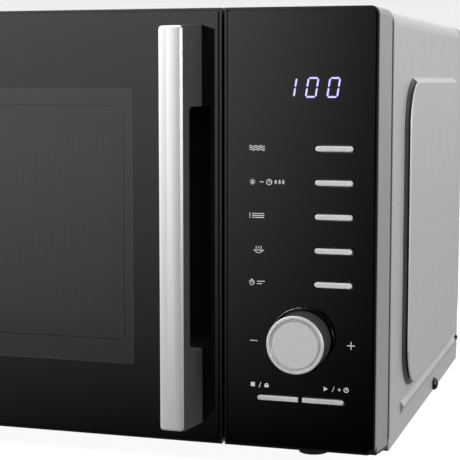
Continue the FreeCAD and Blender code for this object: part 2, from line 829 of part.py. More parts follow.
def make_panel():
    frame = side_slab("panel_rim", panel_left, front_bottom, front_right, front_top,
                      front_corner, "right", glass_rear, rim_front)
    floor = new_sketch(frame, "panel_floor", "XZ", floor_rear)
    draw_side_rounded(floor, panel_left + rebate, front_bottom + rebate, front_right - rebate,
                      front_top - rebate, front_corner - rebate, "right")
    add_pad(frame, floor, shell_wall)
    side_opening(frame, "panel_recess", panel_left + rim_width, front_bottom + rim_width,
                 front_right - rim_width, front_top - rim_width, recess_corner, "right",
                 rim_front, glass_rear - rim_front)
    opening(frame, "display_opening", display_left - 0.4, display_bottom - 0.4,
            display_right + 0.4, display_top + 0.4, glass_rear, shell_wall)
    shaft_hole = rod("panel_shaft_hole", (knob_x, glass_rear - 1, knob_z), shaft_radius + 1,
                     shell_wall + 2, "Y")
    publish(cut("panel_frame_cut", frame,
                panel_openings("frame_gap", glass_rear, shell_wall) + [shaft_hole]), "panel_frame")

    glass = side_slab("panel_pane", panel_left + glass_inset, front_bottom + glass_inset,
                      front_right - glass_inset, front_top - glass_inset, glass_corner, "right",
                      glass_rear, glass_front)
    recess = rod("knob_opening", (knob_x, glass_front - 1, knob_z), knob_recess,
                 glass_thick + 2, "Y")
    publish(cut("panel_glass_cut", glass,
                panel_openings("glass_gap", glass_front, glass_thick) + [recess]), "panel_glass")

    housing = side_slab("housing_shell", panel_left, front_bottom, front_right, front_top,
                        front_corner, "right", front_rear, glass_rear)
    side_opening(housing, "housing_rebate", panel_left + rebate, front_bottom + rebate,
                 front_right - rebate, front_top - rebate, front_corner - rebate, "right",
                 glass_rear, shell_wall)
    side_opening(housing, "housing_hollow", panel_left + shell_wall, front_bottom + shell_wall,
                 front_right - shell_wall, front_top - shell_wall, front_corner - shell_wall,
                 "right", floor_rear, front_rear - floor_rear)
    posts = [rod(f"housing_post_{index}", (x, floor_rear, z), 3.5, plate_front - floor_rear, "Y")
             for index, (x, z) in enumerate((x, z)
                                            for x in (panel_left + 5.1, front_right - 5.2)
                                            for z in (front_bottom + 10, front_top - 10))]
    publish(fuse("housing_solid", [housing] + posts), "control_housing")


make_panel()


def make_switch(word, left, right, level):
    """Tactile switch soldered behind one button."""
    middle = (left + right) / 2
    tip_front = key_foot_rear + press_travel + running_gap
    return fuse(f"switch_{word}", [
        block(f"switch_case_{word}", (middle - 3, board_front - 2.4, level - 3),
              (middle + 3, board_front, level + 3)),
        rod(f"switch_tip_{word}", (middle, tip_front, level), 1.7,
            board_front - 2.4 - tip_front, "Y"),
    ])


def make_control_electronics():
    display = block("display_block", (display_left, glass_rear + 0.2, display_bottom),
                    (display_right, board_front, display_top))
    publish(display, "display_module")
    board = slab("circuit_board", board_left, board_bottom, board_right, board_top,
                 board_front + board_thick, board_front)
    parts = [board] + [make_switch(*button[:4]) for button in buttons]
    parts += [
        block("relay_body", (board_left + 8, board_front + board_thick, board_bottom + 60),
              (board_left + 27, board_front + board_thick + 15, board_bottom + 75)),
        block("supply_transformer",
              (board_left + 34, board_front + board_thick, board_bottom + 90),
              (board_left + 62, board_front + board_thick + 20, board_bottom + 122))]
    publish(fuse("board_solid", parts), "control_board")
    encoder = block("encoder_case", (knob_x - 6.5, floor_rear + 0.2, knob_z - 6.5),
                    (knob_x + 6.5, board_front, knob_z + 6.5))
    bore = rod("encoder_bore", (knob_x, floor_rear, knob_z), shaft_radius + pin_clearance,
               6, "Y")
    publish(cut("encoder_cut", encoder, [bore]), "encoder_body")


make_control_electronics()


def turned_body(name, profile, base):
    """Body turned about the Y axis: the profile lists radius and depth."""
    body = new_body(name)
    sketch = new_sketch(body, name + "_profile", "XY", 0)
    draw_polygon(sketch, profile)
    add_revolution(body, sketch, "V_Axis")
    place(body, base)
    return body


def make_knob():
    seat = glass_front - knob_proud + 1.8
    front = glass_front - knob_proud
    base = glass_front + 1.5
    shaft_end = front + 9
    profile = [
        (shaft_radius, base), (5.5, base), (5.5, front + 5), (knob_radius - 1.9, front + 5),
        (knob_radius - 1.9, base), (knob_radius, base), (knob_radius - 0.2, front),
        (knob_radius - 2.1, front), (knob_radius - 2.1, front + 1),
        (knob_radius - 2.4, front + 1), (knob_radius - 2.4, front + 0.2),
        (knob_radius - 2.9, front + 0.2), (knob_radius - 2.9, seat), (0, seat),
        (0, shaft_end), (shaft_radius, shaft_end),
    ]
    publish(turned_body("knob_shell", profile, (knob_x, 0, knob_z)), "knob")
    disc = turned_body("knob_face", [(0, front + 0.15), (knob_radius - 3.3, front + 0.15),
                                     (knob_radius - 3.3, seat), (0, seat)], (knob_x, 0, knob_z))
    publish(disc, "knob_disc")
    publish(rod("encoder_pin", (knob_x, shaft_end, knob_z), shaft_radius,
                floor_rear + 5 - shaft_end, "Y"), "encoder_shaft")


make_knob()


# ================================================================ cabinet
skin_x = front_right
inner_x = front_right - sheet_metal
inner_top = front_top - sheet_metal


def emboss_loft(body, name, kind, sign, start, end, shrink):
    """Loft with the slopes of the raised panel between two distances from the side."""
    before = body.Shape.Volume if body.Tip else 0
    sketches = []
    for step, outward in (("foot", start), ("crown", end)):
        narrow = 0 if step == "foot" else 1
        sketch = new_sketch(body, f"{name}_{step}", "YZ", (skin_x + outward) * sign)
        inset = emboss_slope * narrow + shrink
        draw_rounded_rectangle(sketch, emboss_front + emboss_front_slope * narrow + shrink,
                               emboss_bottom + inset, emboss_rear - inset,
                               emboss_top - inset, emboss_corner - inset)
        sketches.append(sketch)
    loft = body.newObject("PartDesign::" + kind, name)
    loft.Profile = sketches[0]
    loft.Sections = [sketches[1]]
    loft.Ruled = True
    doc.recompute()
    if (body.Shape.Volume > before) != (kind == "AdditiveLoft"):
        raise RuntimeError(f"{name} does nothing")


def bead_bar(name, sign, depth, margin):
    """Bar with the section of the side bead, moved inwards by a depth."""
    body = new_body(name)
    section = new_sketch(body, name + "_section", "XZ", cabinet_rear - bead_margin - margin)
    root = (inner_x - depth) * sign
    face = (skin_x - depth) * sign
    draw_polygon(section, [
        (root, bead_bottom + margin), (face, bead_bottom + margin),
        (face + bead_rise * sign, bead_ridge), (face, bead_top - margin),
        (root, bead_top - margin)])
    add_pad(body, section, cabinet_rear - bead_margin - emboss_front - margin * 2)
    return body


def across(sign, low, high):
    """Two distances from the middle, in rising order, on the right (1) or left (-1) side."""
    return (low, high) if sign > 0 else (-high, -low)


def make_emboss(body, sign):
    """Raised side panel: a lofted bulge with a lofted hollow behind it."""
    emboss_loft(body, f"emboss_outer_{sign}", "AdditiveLoft", sign, -0.4, emboss_height, 0)
    emboss_loft(body, f"emboss_inner_{sign}", "SubtractiveLoft", sign, -sheet_metal - 0.4,
                emboss_height - sheet_metal, 0.6)


def make_cabinet_cover():
    cover = new_body("cover_sheet")
    section = new_sketch(cover, "cover_section", "XZ", cabinet_rear)
    draw_polygon(section, [
        (front_left, cabinet_bottom), (front_left, front_top), (front_right, front_top),
        (front_right, cabinet_bottom), (inner_x, cabinet_bottom), (inner_x, inner_top),
        (-inner_x, inner_top), (-inner_x, cabinet_bottom)])
    add_pad(cover, section, cabinet_rear - cabinet_front)
    round_edges(cover, cabinet_bend, lambda edge: runs_along(edge, "y")
                and edge.CenterOfMass.z > front_top.value - 0.01)
    round_edges(cover, cabinet_bend - sheet_metal, lambda edge: runs_along(edge, "y")
                and abs(edge.CenterOfMass.z - inner_top.value) < 0.01
                and abs(abs(edge.CenterOfMass.x) - inner_x.value) < 0.01)
    for sign in (1, -1):
        make_emboss(cover, sign)
    solids = [cover]
    tools = []
    for tag, sign in sides:
        solids.append(bead_bar(f"bead_{tag}", sign, 0, 0))
        tools.append(bead_bar(f"bead_hollow_{tag}", sign, sheet_metal, 0.4))
        low, high = across(sign, inner_x - 3, skin_x + 3)
        tools.append(block(f"bead_notch_{tag}", (low, cabinet_rear - 20, bead_ridge - 2.7),
                           (high, cabinet_rear - bead_margin - 1, bead_top - 0.7)))
        low, high = across(sign, skin_x + 0.1, skin_x + emboss_height - sheet_metal)
        tools.append(block(f"louvre_{tag}", (low, emboss_front - 2, emboss_bottom - 1),
                           (high, emboss_front + louvre_reach, emboss_top + 1)))
        low, high = across(sign, skin_x - 5, skin_x + 5)
        tools.append(rod(f"side_screw_hole_{tag}", (low, side_screw_y, side_screw_z),
                         screw_radius, 10, "X"))
    publish(cut("cabinet_cover_cut", fuse("cabinet_cover_solid", solids), tools), "cabinet_cover")


sides = (("right", 1), ("left", -1))
make_cabinet_cover()


def make_vent_baffles():
    """Dark liners that close the open front slope of each raised panel."""
    baffles = []
    for tag, sign in sides:
        plug = new_body(f"baffle_plug_{tag}")
        emboss_loft(plug, f"baffle_{tag}", "AdditiveLoft", sign, 0.3,
                    emboss_height - sheet_metal, 1)
        low, high = across(sign, skin_x - 1, skin_x + emboss_height + 1)
        behind = block(f"baffle_end_{tag}",
                       (low, emboss_front + louvre_reach + 2, emboss_bottom - 1),
                       (high, emboss_rear + 1, emboss_top + 1))
        middle = block(f"baffle_middle_{tag}",
                       (low, emboss_front + 14, emboss_bottom + 24),
                       (high, emboss_rear + 1, emboss_top - 24))
        baffles.append(cut(f"baffle_cut_{tag}", plug, [behind, middle]))
    publish(group("baffle_pair", baffles), "vent_baffles")


make_vent_baffles()

plate_x = inner_x - 2
slot_left = hook_x - hook_width - 1.5
slot_right = hook_x + hook_width + 1.5


def make_front_plate():
    """Steel plate that the cavity is welded to; the door closes against it."""
    plate = slab("front_sheet", -plate_x, cabinet_bottom + sheet_metal, plate_x, front_top - 2,
                 plate_rear, plate_front)
    opening(plate, "oven_mouth", cavity_left, cavity_bottom, cavity_right, cavity_top,
            plate_front, sheet_metal)
    opening(plate, "panel_wiring", board_left, board_bottom + 20, board_right, board_top,
            plate_front, sheet_metal)
    tools = [block(f"latch_slot_{index}", (slot_left, plate_front - 1, level - 2),
                   (slot_right, plate_rear + 1, level + hook_thick + latch_travel + 2))
             for index, level in enumerate(hook_levels)]
    for index, (level, side) in enumerate(hinge_levels):
        leaf_low = level + (hinge_slot - leaf_thick) / 2
        tools.append(block(f"leaf_slot_{index}", (hinge_x - boss_radius, plate_front - 1, leaf_low),
                           (hinge_x + boss_radius, plate_rear + 1, leaf_low + leaf_thick)))
    publish(cut("front_plate_cut", plate, tools), "front_plate")


make_front_plate()

lamp_y = size("lamp_y", 60)
lamp_z = size("lamp_z", 205)
guide_front = size("guide_front", -62)
guide_rear = size("guide_rear", -2)
guide_bottom = size("guide_bottom", 126)
guide_top = size("guide_top", 214)
guide_right = size("guide_right", 137)
tube_z = size("tube_z", 158)
tube_y = (guide_front + guide_rear) / 2


def make_cavity():
    shell = new_body("cavity_box")
    outer = new_sketch(shell, "cavity_outside", "XZ", cavity_rear + sheet_metal)
    draw_rectangle(outer, cavity_left - sheet_metal, cavity_bottom - sheet_metal,
                   cavity_right + sheet_metal, cavity_top + sheet_metal)
    add_pad(shell, outer, cavity_rear + sheet_metal - plate_rear)
    round_edges(shell, cavity_corner + sheet_metal, lambda edge: runs_along(edge, "z")
                and edge.CenterOfMass.y > cavity_rear.value)
    room = new_body("cavity_room")
    inner = new_sketch(room, "cavity_inside", "XZ", cavity_rear)
    draw_rectangle(inner, cavity_left, cavity_bottom, cavity_right, cavity_top)
    add_pad(room, inner, cavity_rear - plate_rear + 1)
    round_edges(room, cavity_corner, lambda edge: runs_along(edge, "z")
                and edge.CenterOfMass.y > cavity_rear.value - 1)
    tools = [room, rod("coupler_hole", (table_x, table_y, cavity_bottom - 2), 7, 4),
             block("guide_port", (cavity_right - 1, guide_front + 14, guide_top - 40),
                   (cavity_right + 2, guide_rear - 14, guide_top - 8))]
    for row in range(3):
        for column in range(4):
            tools.append(rod(f"lamp_hole_{row}_{column}",
                             (cavity_right - 1, lamp_y + (column - 1.5) * 9,
                              lamp_z + (row - 1) * 9), 2.5, 3, "X"))
            tools.append(rod(f"steam_hole_{row}_{column}",
                             (cavity_left - 2, lamp_y + (column - 1.5) * 9,
                              lamp_z + (row - 1) * 9), 2.5, 3, "X"))
    publish(cut("cavity_cut", shell, tools), "cavity_shell")
    publish(block("mica_sheet", (cavity_right - 0.5, guide_front + 8, guide_top - 46),
                  (cavity_right, guide_rear - 8, guide_top - 2)), "waveguide_cover")


make_cavity()


def make_microwave_source():
    start = cavity_right + sheet_metal
    duct = block("duct_outside", (start, guide_front, guide_bottom),
                 (guide_right, guide_rear, guide_top))
    hollow = block("duct_inside", (start - 1, guide_front + 1.2, guide_bottom + 1.2),
                   (guide_right - 1.2, guide_rear - 1.2, guide_top - 1.2))
    port = rod("antenna_port", (guide_right - 3, tube_y, tube_z), 9, 5, "X")
    publish(cut("waveguide_cut", duct, [hollow, port]), "waveguide")
    yoke_end = guide_right + 62
    yoke = cut("yoke_loop", block("yoke_outside", (guide_right, guide_front - 4, tube_z - 42),
                                  (yoke_end, guide_rear + 4, tube_z + 42)),
               [block("yoke_inside", (guide_right + 1.6, guide_front - 5, tube_z - 40.4),
                      (yoke_end - 1.6, guide_rear + 5, tube_z + 40.4)),
                rod("yoke_port", (guide_right - 1, tube_y, tube_z), 9, 4, "X")])
    magnets = [ring(f"magnet_{index}", (guide_right + 1.6 + index * 46.8, tube_y, tube_z),
                    27, 14.2, 12, "X") for index in range(2)]
    publish(fuse("magnetron_yoke_solid", [yoke] + magnets), "magnetron_yoke")
    fins = [block(f"fin_{index}", (guide_right + 16 + index * 5.6, guide_front - 2, tube_z - 36),
                  (guide_right + 16.6 + index * 5.6, guide_rear + 2, tube_z + 36))
            for index in range(6)]
    anode = rod("anode", (guide_right + 13.8, tube_y, tube_z), 19, 34.4, "X")
    antenna = rod("antenna", (guide_right - 20, tube_y, tube_z), 7.5, 35, "X")
    publish(fuse("magnetron_tube_solid", [anode, antenna] + fins), "magnetron_tube")


make_microwave_source()

core_left = size("core_left", 120)
core_front = size("core_front", -8)
core_width = size("core_width", 84)
core_stack = size("core_stack", 44)
core_height = size("core_height", 70)
floor_top = cabinet_bottom + sheet_metal


def make_power_parts():
    window_wide = core_width / 6
    window_high = core_height / 2
    high = floor_top + core_height
    stack = block("core_stack", (core_left, core_front, floor_top),
                  (core_left + core_width, core_front + core_stack, high))
    windows = []
    for index, start in enumerate((core_left + window_wide, core_left + window_wide * 4)):
        windows.append(block(f"core_window_{index}",
                             (start, core_front - 1, floor_top + core_height / 4),
                             (start + window_wide, core_front + core_stack + 1,
                              floor_top + core_height / 4 + window_high)))
    publish(cut("core_cut", stack, windows), "transformer_core")
    middle_low = core_left + window_wide * 2
    middle_high = core_left + window_wide * 4
    coils = []
    for index in range(2):
        low = floor_top + core_height / 4 + 1 + index * (window_high / 2)
        coils.append(cut(f"winding_{index}",
                         block(f"winding_outside_{index}",
                               (middle_low - window_wide + 1, core_front - 13, low),
                               (middle_high + window_wide - 1, core_front + core_stack + 13,
                                low + window_high / 2 - 2)),
                         [block(f"winding_inside_{index}", (middle_low, core_front, low - 1),
                                (middle_high, core_front + core_stack, low + window_high / 2))]))
    publish(group("winding_pair", coils), "transformer_windings")

    can = new_body("capacitor_can")
    outline = new_sketch(can, "can_outline", "XY", floor_top)
    draw_rounded_rectangle(outline, core_left, 84, core_left + 52, 116, 15)
    add_pad(can, outline, 78)
    terminals = [rod(f"capacitor_pin_{index}", (core_left + 14 + index * 24, 100, floor_top + 77),
                     2, 10) for index in range(2)]
    publish(fuse("capacitor_solid", [can] + terminals), "high_voltage_capacitor")
    diode = fuse("diode_solid", [
        rod("diode_body", (core_left + 57, 88, floor_top + 8), 4, 16),
        rod("diode_lead", (core_left + 57, 88, floor_top), 0.8, 40)])
    publish(diode, "high_voltage_diode")

    filter_parts = [
        block("filter_base", (core_left + 62, 84, floor_top), (core_left + 94, 150, floor_top + 3)),
        block("filter_choke", (core_left + 66, 90, floor_top + 3),
              (core_left + 88, 112, floor_top + 26)),
        rod("fuse_link", (core_left + 78, 118, floor_top + 6), 3.2, 28, "Y")]
    publish(fuse("filter_solid", filter_parts), "filter_board")


make_power_parts()


def make_fan():
    plate_y = fan_y - 10
    plate = slab("shroud_plate", cavity_right + 3, fan_z - 60, inner_x - 1, fan_z + 60,
                 plate_y + 1.5, plate_y)
    ring_wall = ring("shroud_ring", (fan_x, plate_y, fan_z), fan_radius + 4, fan_radius + 2.5,
                     rear_inner - plate_y, "Y")
    arms = [block(f"motor_arm_{index}", (fan_x - 3, plate_y, low), (fan_x + 3, plate_y + 1.5, high))
            for index, (low, high) in enumerate(((fan_z - 58, fan_z - 8), (fan_z + 8, fan_z + 58)))]
    hole = rod("shroud_hole", (fan_x, plate_y - 1, fan_z), fan_radius + 2.5, 4, "Y")
    plate_cut = cut("shroud_plate_cut", plate, [hole])
    publish(fuse("shroud_solid", [plate_cut, ring_wall] + arms), "fan_shroud")
    motor = fuse("motor_solid", [
        rod("motor_can", (fan_x, plate_y - 30, fan_z), 17, 30, "Y"),
        block("motor_stack", (fan_x - 24, plate_y - 22, fan_z - 22),
              (fan_x + 24, plate_y - 8, fan_z + 22))])
    bore = rod("motor_bore", (fan_x, plate_y - 12, fan_z), 1.5 + pin_clearance, 14, "Y")
    publish(cut("motor_cut", motor, [bore]), "fan_motor")
    blades = [rod("fan_hub", (fan_x, fan_y - 6, fan_z), 11, 12, "Y"),
              rod("fan_axle", (fan_x, plate_y - 10, fan_z), 1.5, 16, "Y")]
    root = 9.5
    chord = 18
    for index in range(5):
        blade = doc.addObject("Part::Box", f"fan_blade_{index}")
        bind(blade, "Length", fan_radius - root)
        bind(blade, "Width", 1.2)
        bind(blade, "Height", chord)
        pitch = FreeCAD.Rotation(Vector(1, 0, 0), -55)
        around = FreeCAD.Rotation(Vector(0, 1, 0), index * 72)
        foot = around.multVec(Vector(root, 0, 0) + pitch.multVec(Vector(0, -0.6, -chord / 2)))
        blade.Placement = FreeCAD.Placement(Vector(), around.multiply(pitch))
        place(blade, (fan_x + foot.x, fan_y + foot.y, fan_z + foot.z))
        blades.append(blade)
    publish(fuse("fan_solid", blades), "fan_blade")


rear_inner = cabinet_rear - sheet_metal
make_fan()


def add_ball(name, centre, radius):
    ball = doc.addObject("Part::Sphere", name)
    bind(ball, "Radius", radius)
    place(ball, centre)
    return ball


def make_lamp():
    start = cavity_right + sheet_metal + 4
    holder = fuse("lamp_bracket", [
        block("lamp_plate", (cavity_right + sheet_metal, lamp_y - 20, lamp_z + 16),
              (start + 30, lamp_y + 20, lamp_z + 17.2)),
        rod("lamp_socket", (start + 14, lamp_y, lamp_z + 6), 9, 10)])
    publish(holder, "lamp_holder")
    bulb = fuse("bulb_solid", [
        add_ball("bulb_globe", (start + 14, lamp_y, lamp_z - 9), 11),
        rod("bulb_neck", (start + 14, lamp_y, lamp_z - 2), 6.5, 8)])
    publish(bulb, "oven_lamp")


make_lamp()


def make_base():
    base = slab("base_sheet", -inner_x, cabinet_bottom, inner_x, floor_top,
                rear_inner, cabinet_front)
    walls = []
    for tag, start in (("left", -inner_x), ("right", inner_x - sheet_metal)):
        walls.append(block(f"base_flange_{tag}", (start, cabinet_front + 3, floor_top),
                           (start + sheet_metal, rear_inner, bead_bottom - 1.2)))
    tools = []
    for row in range(7):
        for column in range(3):
            x = core_left + 8 + column * 30
            y = cabinet_front + 30 + row * 9
            tools.append(block(f"base_vent_{row}_{column}", (x, y, cabinet_bottom - 1),
                               (x + 22, y + 4, floor_top + 1)))
    for sign in (-1, 1):
        tools.append(rod(f"flange_hole_{sign}", (inner_x * sign - 3, side_screw_y, side_screw_z),
                         screw_radius, 6, "X"))
    publish(cut("base_cut", fuse("base_solid", [base] + walls), tools), "base_plate")
    feet = []
    for tag, x in (("left", -foot_x), ("right", foot_x)):
        for end, y in (("front", foot_front), ("rear", foot_rear)):
            feet.append(cone(f"foot_{end}_{tag}", (x, y, 0), foot_radius - 1, foot_radius,
                             cabinet_bottom))
    publish(group("foot_set", feet), "feet")


make_base()

gland_x = size("gland_x", 190)
gland_z = size("gland_z", 34)
gland_radius = size("gland_radius", 6)


def make_rear():
    panel = slab("rear_sheet", -inner_x, floor_top, inner_x, inner_top, cabinet_rear, rear_inner)
    round_edges(panel, cabinet_bend - sheet_metal, lambda edge: runs_along(edge, "y")
                and edge.CenterOfMass.z > inner_top.value - 0.01)
    spacers = [rod(f"wall_spacer_{index}", (x, cabinet_rear, z), 9, 4, "Y")
               for index, (x, z) in enumerate(((-150, 60), (-150, 225), (110, 225)))]
    tools = [rod("gland_hole", (gland_x, rear_inner - 1, gland_z), gland_radius, 4, "Y")]
    for row in range(9):
        z = fan_z - 40 + row * 10
        half = math.sqrt(max(fan_radius.value ** 2 - (row * 10 - 38) ** 2, 0)) * 0.9
        tools.append(block(f"fan_vent_{row}", (fan_x - half, rear_inner - 1, z),
                           (fan_x + half, cabinet_rear + 1, z + 4)))
        tools.append(block(f"exhaust_vent_{row}", (-120, rear_inner - 1, z - 30),
                           (-60, cabinet_rear + 1, z - 26)))
    publish(cut("rear_cut", fuse("rear_solid", [panel] + spacers), tools), "rear_panel")
    gland = fuse("gland_solid", [
        ring("gland_flange", (gland_x, cabinet_rear, gland_z), 9.5, 3.6, 4, "Y"),
        ring("gland_sleeve", (gland_x, rear_inner - 6, gland_z), gland_radius, 3.6,
             6 + sheet_metal, "Y")])
    publish(gland, "cord_gland")


make_rear()


def make_screws():
    screws = []
    head_high = 2.2
    shank_long = 5
    for tag, sign in sides:
        start = across(sign, skin_x - shank_long, skin_x)[0]
        shank = rod(f"side_shank_{tag}", (start, side_screw_y, side_screw_z), screw_radius,
                    shank_long, "X")
        start = across(sign, skin_x, skin_x + head_high)[0]
        head = rod(f"side_head_{tag}", (start, side_screw_y, side_screw_z), side_head_radius,
                   head_high, "X")
        screws.append(fuse(f"side_screw_{tag}", [shank, head]))
    publish(group("side_screw_set", screws), "cabinet_screws")


make_screws()


def make_interlock():
    slot_gap = 2
    base = block("interlock_base", (slot_right + slot_gap, plate_rear, latch_bottom),
                 (slot_right + slot_gap + 2, plate_rear + 24, latch_top - 4))
    foot = block("interlock_foot", (slot_right + slot_gap, plate_rear, latch_bottom),
                 (slot_right + slot_gap + 12, plate_rear + 1.6, latch_top - 4))
    publish(fuse("interlock_solid", [base, foot]), "latch_board")
    switches = []
    for index, level in enumerate((latch_bottom + 16, latch_bottom + 80, latch_top - 28)):
        switches.append(block(f"door_switch_{index}",
                              (slot_right + slot_gap + 2, plate_rear + 4, level),
                              (slot_right + slot_gap + 12, plate_rear + 20, level + 24)))
    publish(group("door_switch_set", switches), "door_switches")


make_interlock()


# ================================================================ turntable
plate_under = cavity_bottom + running_gap * 2 + roller_radius * 2
axle_z = cavity_bottom + running_gap + roller_radius
hub_low = cavity_bottom + 1


def make_turntable():
    motor = rod("table_motor_can", (table_x, table_y, cavity_bottom - sheet_metal - 14), 24, 14)
    bore = rod("table_motor_bore", (table_x, table_y, cavity_bottom - sheet_metal - 8),
               shaft_radius + pin_clearance, 10)
    publish(cut("table_motor_cut", motor, [bore]), "turntable_motor")
    shaft_low = cavity_bottom - sheet_metal - 7
    parts = [rod("coupler_shaft", (table_x, table_y, shaft_low), shaft_radius, hub_low - shaft_low),
             rod("coupler_hub", (table_x, table_y, hub_low), 9, plate_under - hub_low)]
    for index in range(3):
        arm = doc.addObject("Part::Box", f"coupler_arm_{index}")
        bind(arm, "Length", 20)
        bind(arm, "Width", 9)
        bind(arm, "Height", plate_under - hub_low - 4)
        turn = FreeCAD.Rotation(Vector(0, 0, 1), index * 120)
        arm.Placement = FreeCAD.Placement(Vector(), turn)
        corner = turn.multVec(Vector(0, -4.5, 0))
        place(arm, (table_x + corner.x, table_y + corner.y, hub_low + 4))
        parts.append(arm)
    publish(fuse("coupler_solid", parts), "turntable_coupler")

    glass = new_body("glass_plate")
    profile = new_sketch(glass, "plate_profile", "XZ", 0)
    draw_polygon(profile, [
        (0, plate_under), (plate_radius - 22, plate_under), (plate_radius - 4, plate_under + 7),
        (plate_radius, plate_under + 12), (plate_radius - 2, plate_under + 14),
        (plate_radius - 6, plate_under + 11), (plate_radius - 23, plate_under + 4.5),
        (0, plate_under + 4.5)])
    add_revolution(glass, profile, "V_Axis")
    place(glass, (table_x, table_y, 0))
    publish(glass, "turntable_plate")


make_turntable()


def make_rollers():
    ring_outer = roller_track - 5
    support = ring("ring_band", (table_x, table_y, axle_z - 3), ring_outer, ring_outer - 6, 6)
    parts = [support]
    for index in range(3):
        angle = index * 120
        around = FreeCAD.Rotation(Vector(0, 0, 1), angle)
        outward = around.multiply(TURN["X"])
        foot = around.multVec(Vector(1, 0, 0))
        for tag, start, radius, length in (("axle", -3, 2, 12.5), ("tip", 9, 3, 2)):
            pin = doc.addObject("Part::Cylinder", f"ring_{tag}_{index}")
            bind(pin, "Radius", radius)
            bind(pin, "Height", length)
            pin.Placement = FreeCAD.Placement(Vector(), outward)
            reach = ring_outer + start
            place(pin, (table_x + reach * foot.x, table_y + reach * foot.y, axle_z))
            parts.append(pin)
        wheel = doc.addObject("Part::Cylinder", f"wheel_disc_{index}")
        bore = doc.addObject("Part::Cylinder", f"wheel_bore_{index}")
        for piece, radius in ((wheel, roller_radius), (bore, 2 + pin_clearance)):
            bind(piece, "Radius", radius)
            bind(piece, "Height", 7)
            piece.Placement = FreeCAD.Placement(Vector(), outward)
            reach = ring_outer + 1.5
            place(piece, (table_x + reach * foot.x, table_y + reach * foot.y, axle_z))
        publish(cut(f"wheel_{index}", wheel, [bore]), f"roller_{index + 1}")
    publish(fuse("roller_ring_solid", parts), "roller_ring")


make_rollers()


# ================================================================ checks and files
def main():
    doc.recompute()
    faults = [item.Name for item in doc.Objects
              if "Invalid" in item.State or "Error" in item.State]
    for item in exports:
        shape = item.Shape
        if shape.isNull() or not shape.isValid() or not shape.Solids:
            faults.append(item.Label)
    if faults:
        raise RuntimeError("failed objects: " + ", ".join(faults))
    os.makedirs("parts", exist_ok=True)
    for item in exports:
        item.Shape.exportStep(f"parts/{item.Label}.step")
        print(f"{item.Label}: {len(item.Shape.Solids)} solid(s), {item.Shape.Volume:.0f} mm3")
    print(f"{len(exports)} files")


main()
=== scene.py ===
"""Looks for the microwave oven: camera, light, materials and the fine surface pieces."""
import json
import math

import bmesh
import bpy
from mathutils import Euler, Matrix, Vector


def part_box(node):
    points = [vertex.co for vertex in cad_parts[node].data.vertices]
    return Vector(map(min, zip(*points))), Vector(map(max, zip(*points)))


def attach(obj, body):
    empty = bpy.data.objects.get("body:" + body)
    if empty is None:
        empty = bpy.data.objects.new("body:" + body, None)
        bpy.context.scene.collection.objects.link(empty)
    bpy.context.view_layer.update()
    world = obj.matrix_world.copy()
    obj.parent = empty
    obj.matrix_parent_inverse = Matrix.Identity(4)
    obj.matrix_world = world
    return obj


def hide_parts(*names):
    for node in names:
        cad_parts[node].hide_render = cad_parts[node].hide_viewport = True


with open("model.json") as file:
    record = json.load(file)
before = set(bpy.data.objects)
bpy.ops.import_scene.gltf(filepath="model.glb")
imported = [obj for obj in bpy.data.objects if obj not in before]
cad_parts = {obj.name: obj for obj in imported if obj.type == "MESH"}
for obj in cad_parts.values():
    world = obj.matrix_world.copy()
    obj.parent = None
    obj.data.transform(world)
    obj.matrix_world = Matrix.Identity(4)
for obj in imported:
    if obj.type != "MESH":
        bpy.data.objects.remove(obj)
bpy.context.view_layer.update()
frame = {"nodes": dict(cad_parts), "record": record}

MM = 0.001
nodes = frame["nodes"]


# ---------------------------------------------------------------- camera, light and floor
CAMERA_PLACE = (0.3650, -0.8990, 0.2238)
CAMERA_DOWN = 6.2
CAMERA_LEFT = 17.1
CAMERA_LENS = 108.2


def add_camera():
    """Long lens in front of the oven and to its right, aimed a little left and down."""
    data = bpy.data.cameras.new("camera")
    data.lens = CAMERA_LENS
    data.sensor_width = 36
    camera = bpy.data.objects.new("camera", data)
    camera.location = CAMERA_PLACE
    camera.rotation_euler = Euler(
        (math.radians(90 - CAMERA_DOWN), 0, math.radians(CAMERA_LEFT)))
    bpy.context.collection.objects.link(camera)
    bpy.context.scene.camera = camera


def add_softbox(name, place, aim, size, power):
    """Rectangular area light of so many watts at a place, turned towards a point."""
    data = bpy.data.lights.new(name, "AREA")
    data.shape = "RECTANGLE"
    data.size, data.size_y = size
    data.energy = power
    lamp = bpy.data.objects.new(name, data)
    lamp.location = place
    lamp.rotation_euler = (Vector(aim) - Vector(place)).to_track_quat("-Z", "Y").to_euler()
    bpy.context.collection.objects.link(lamp)


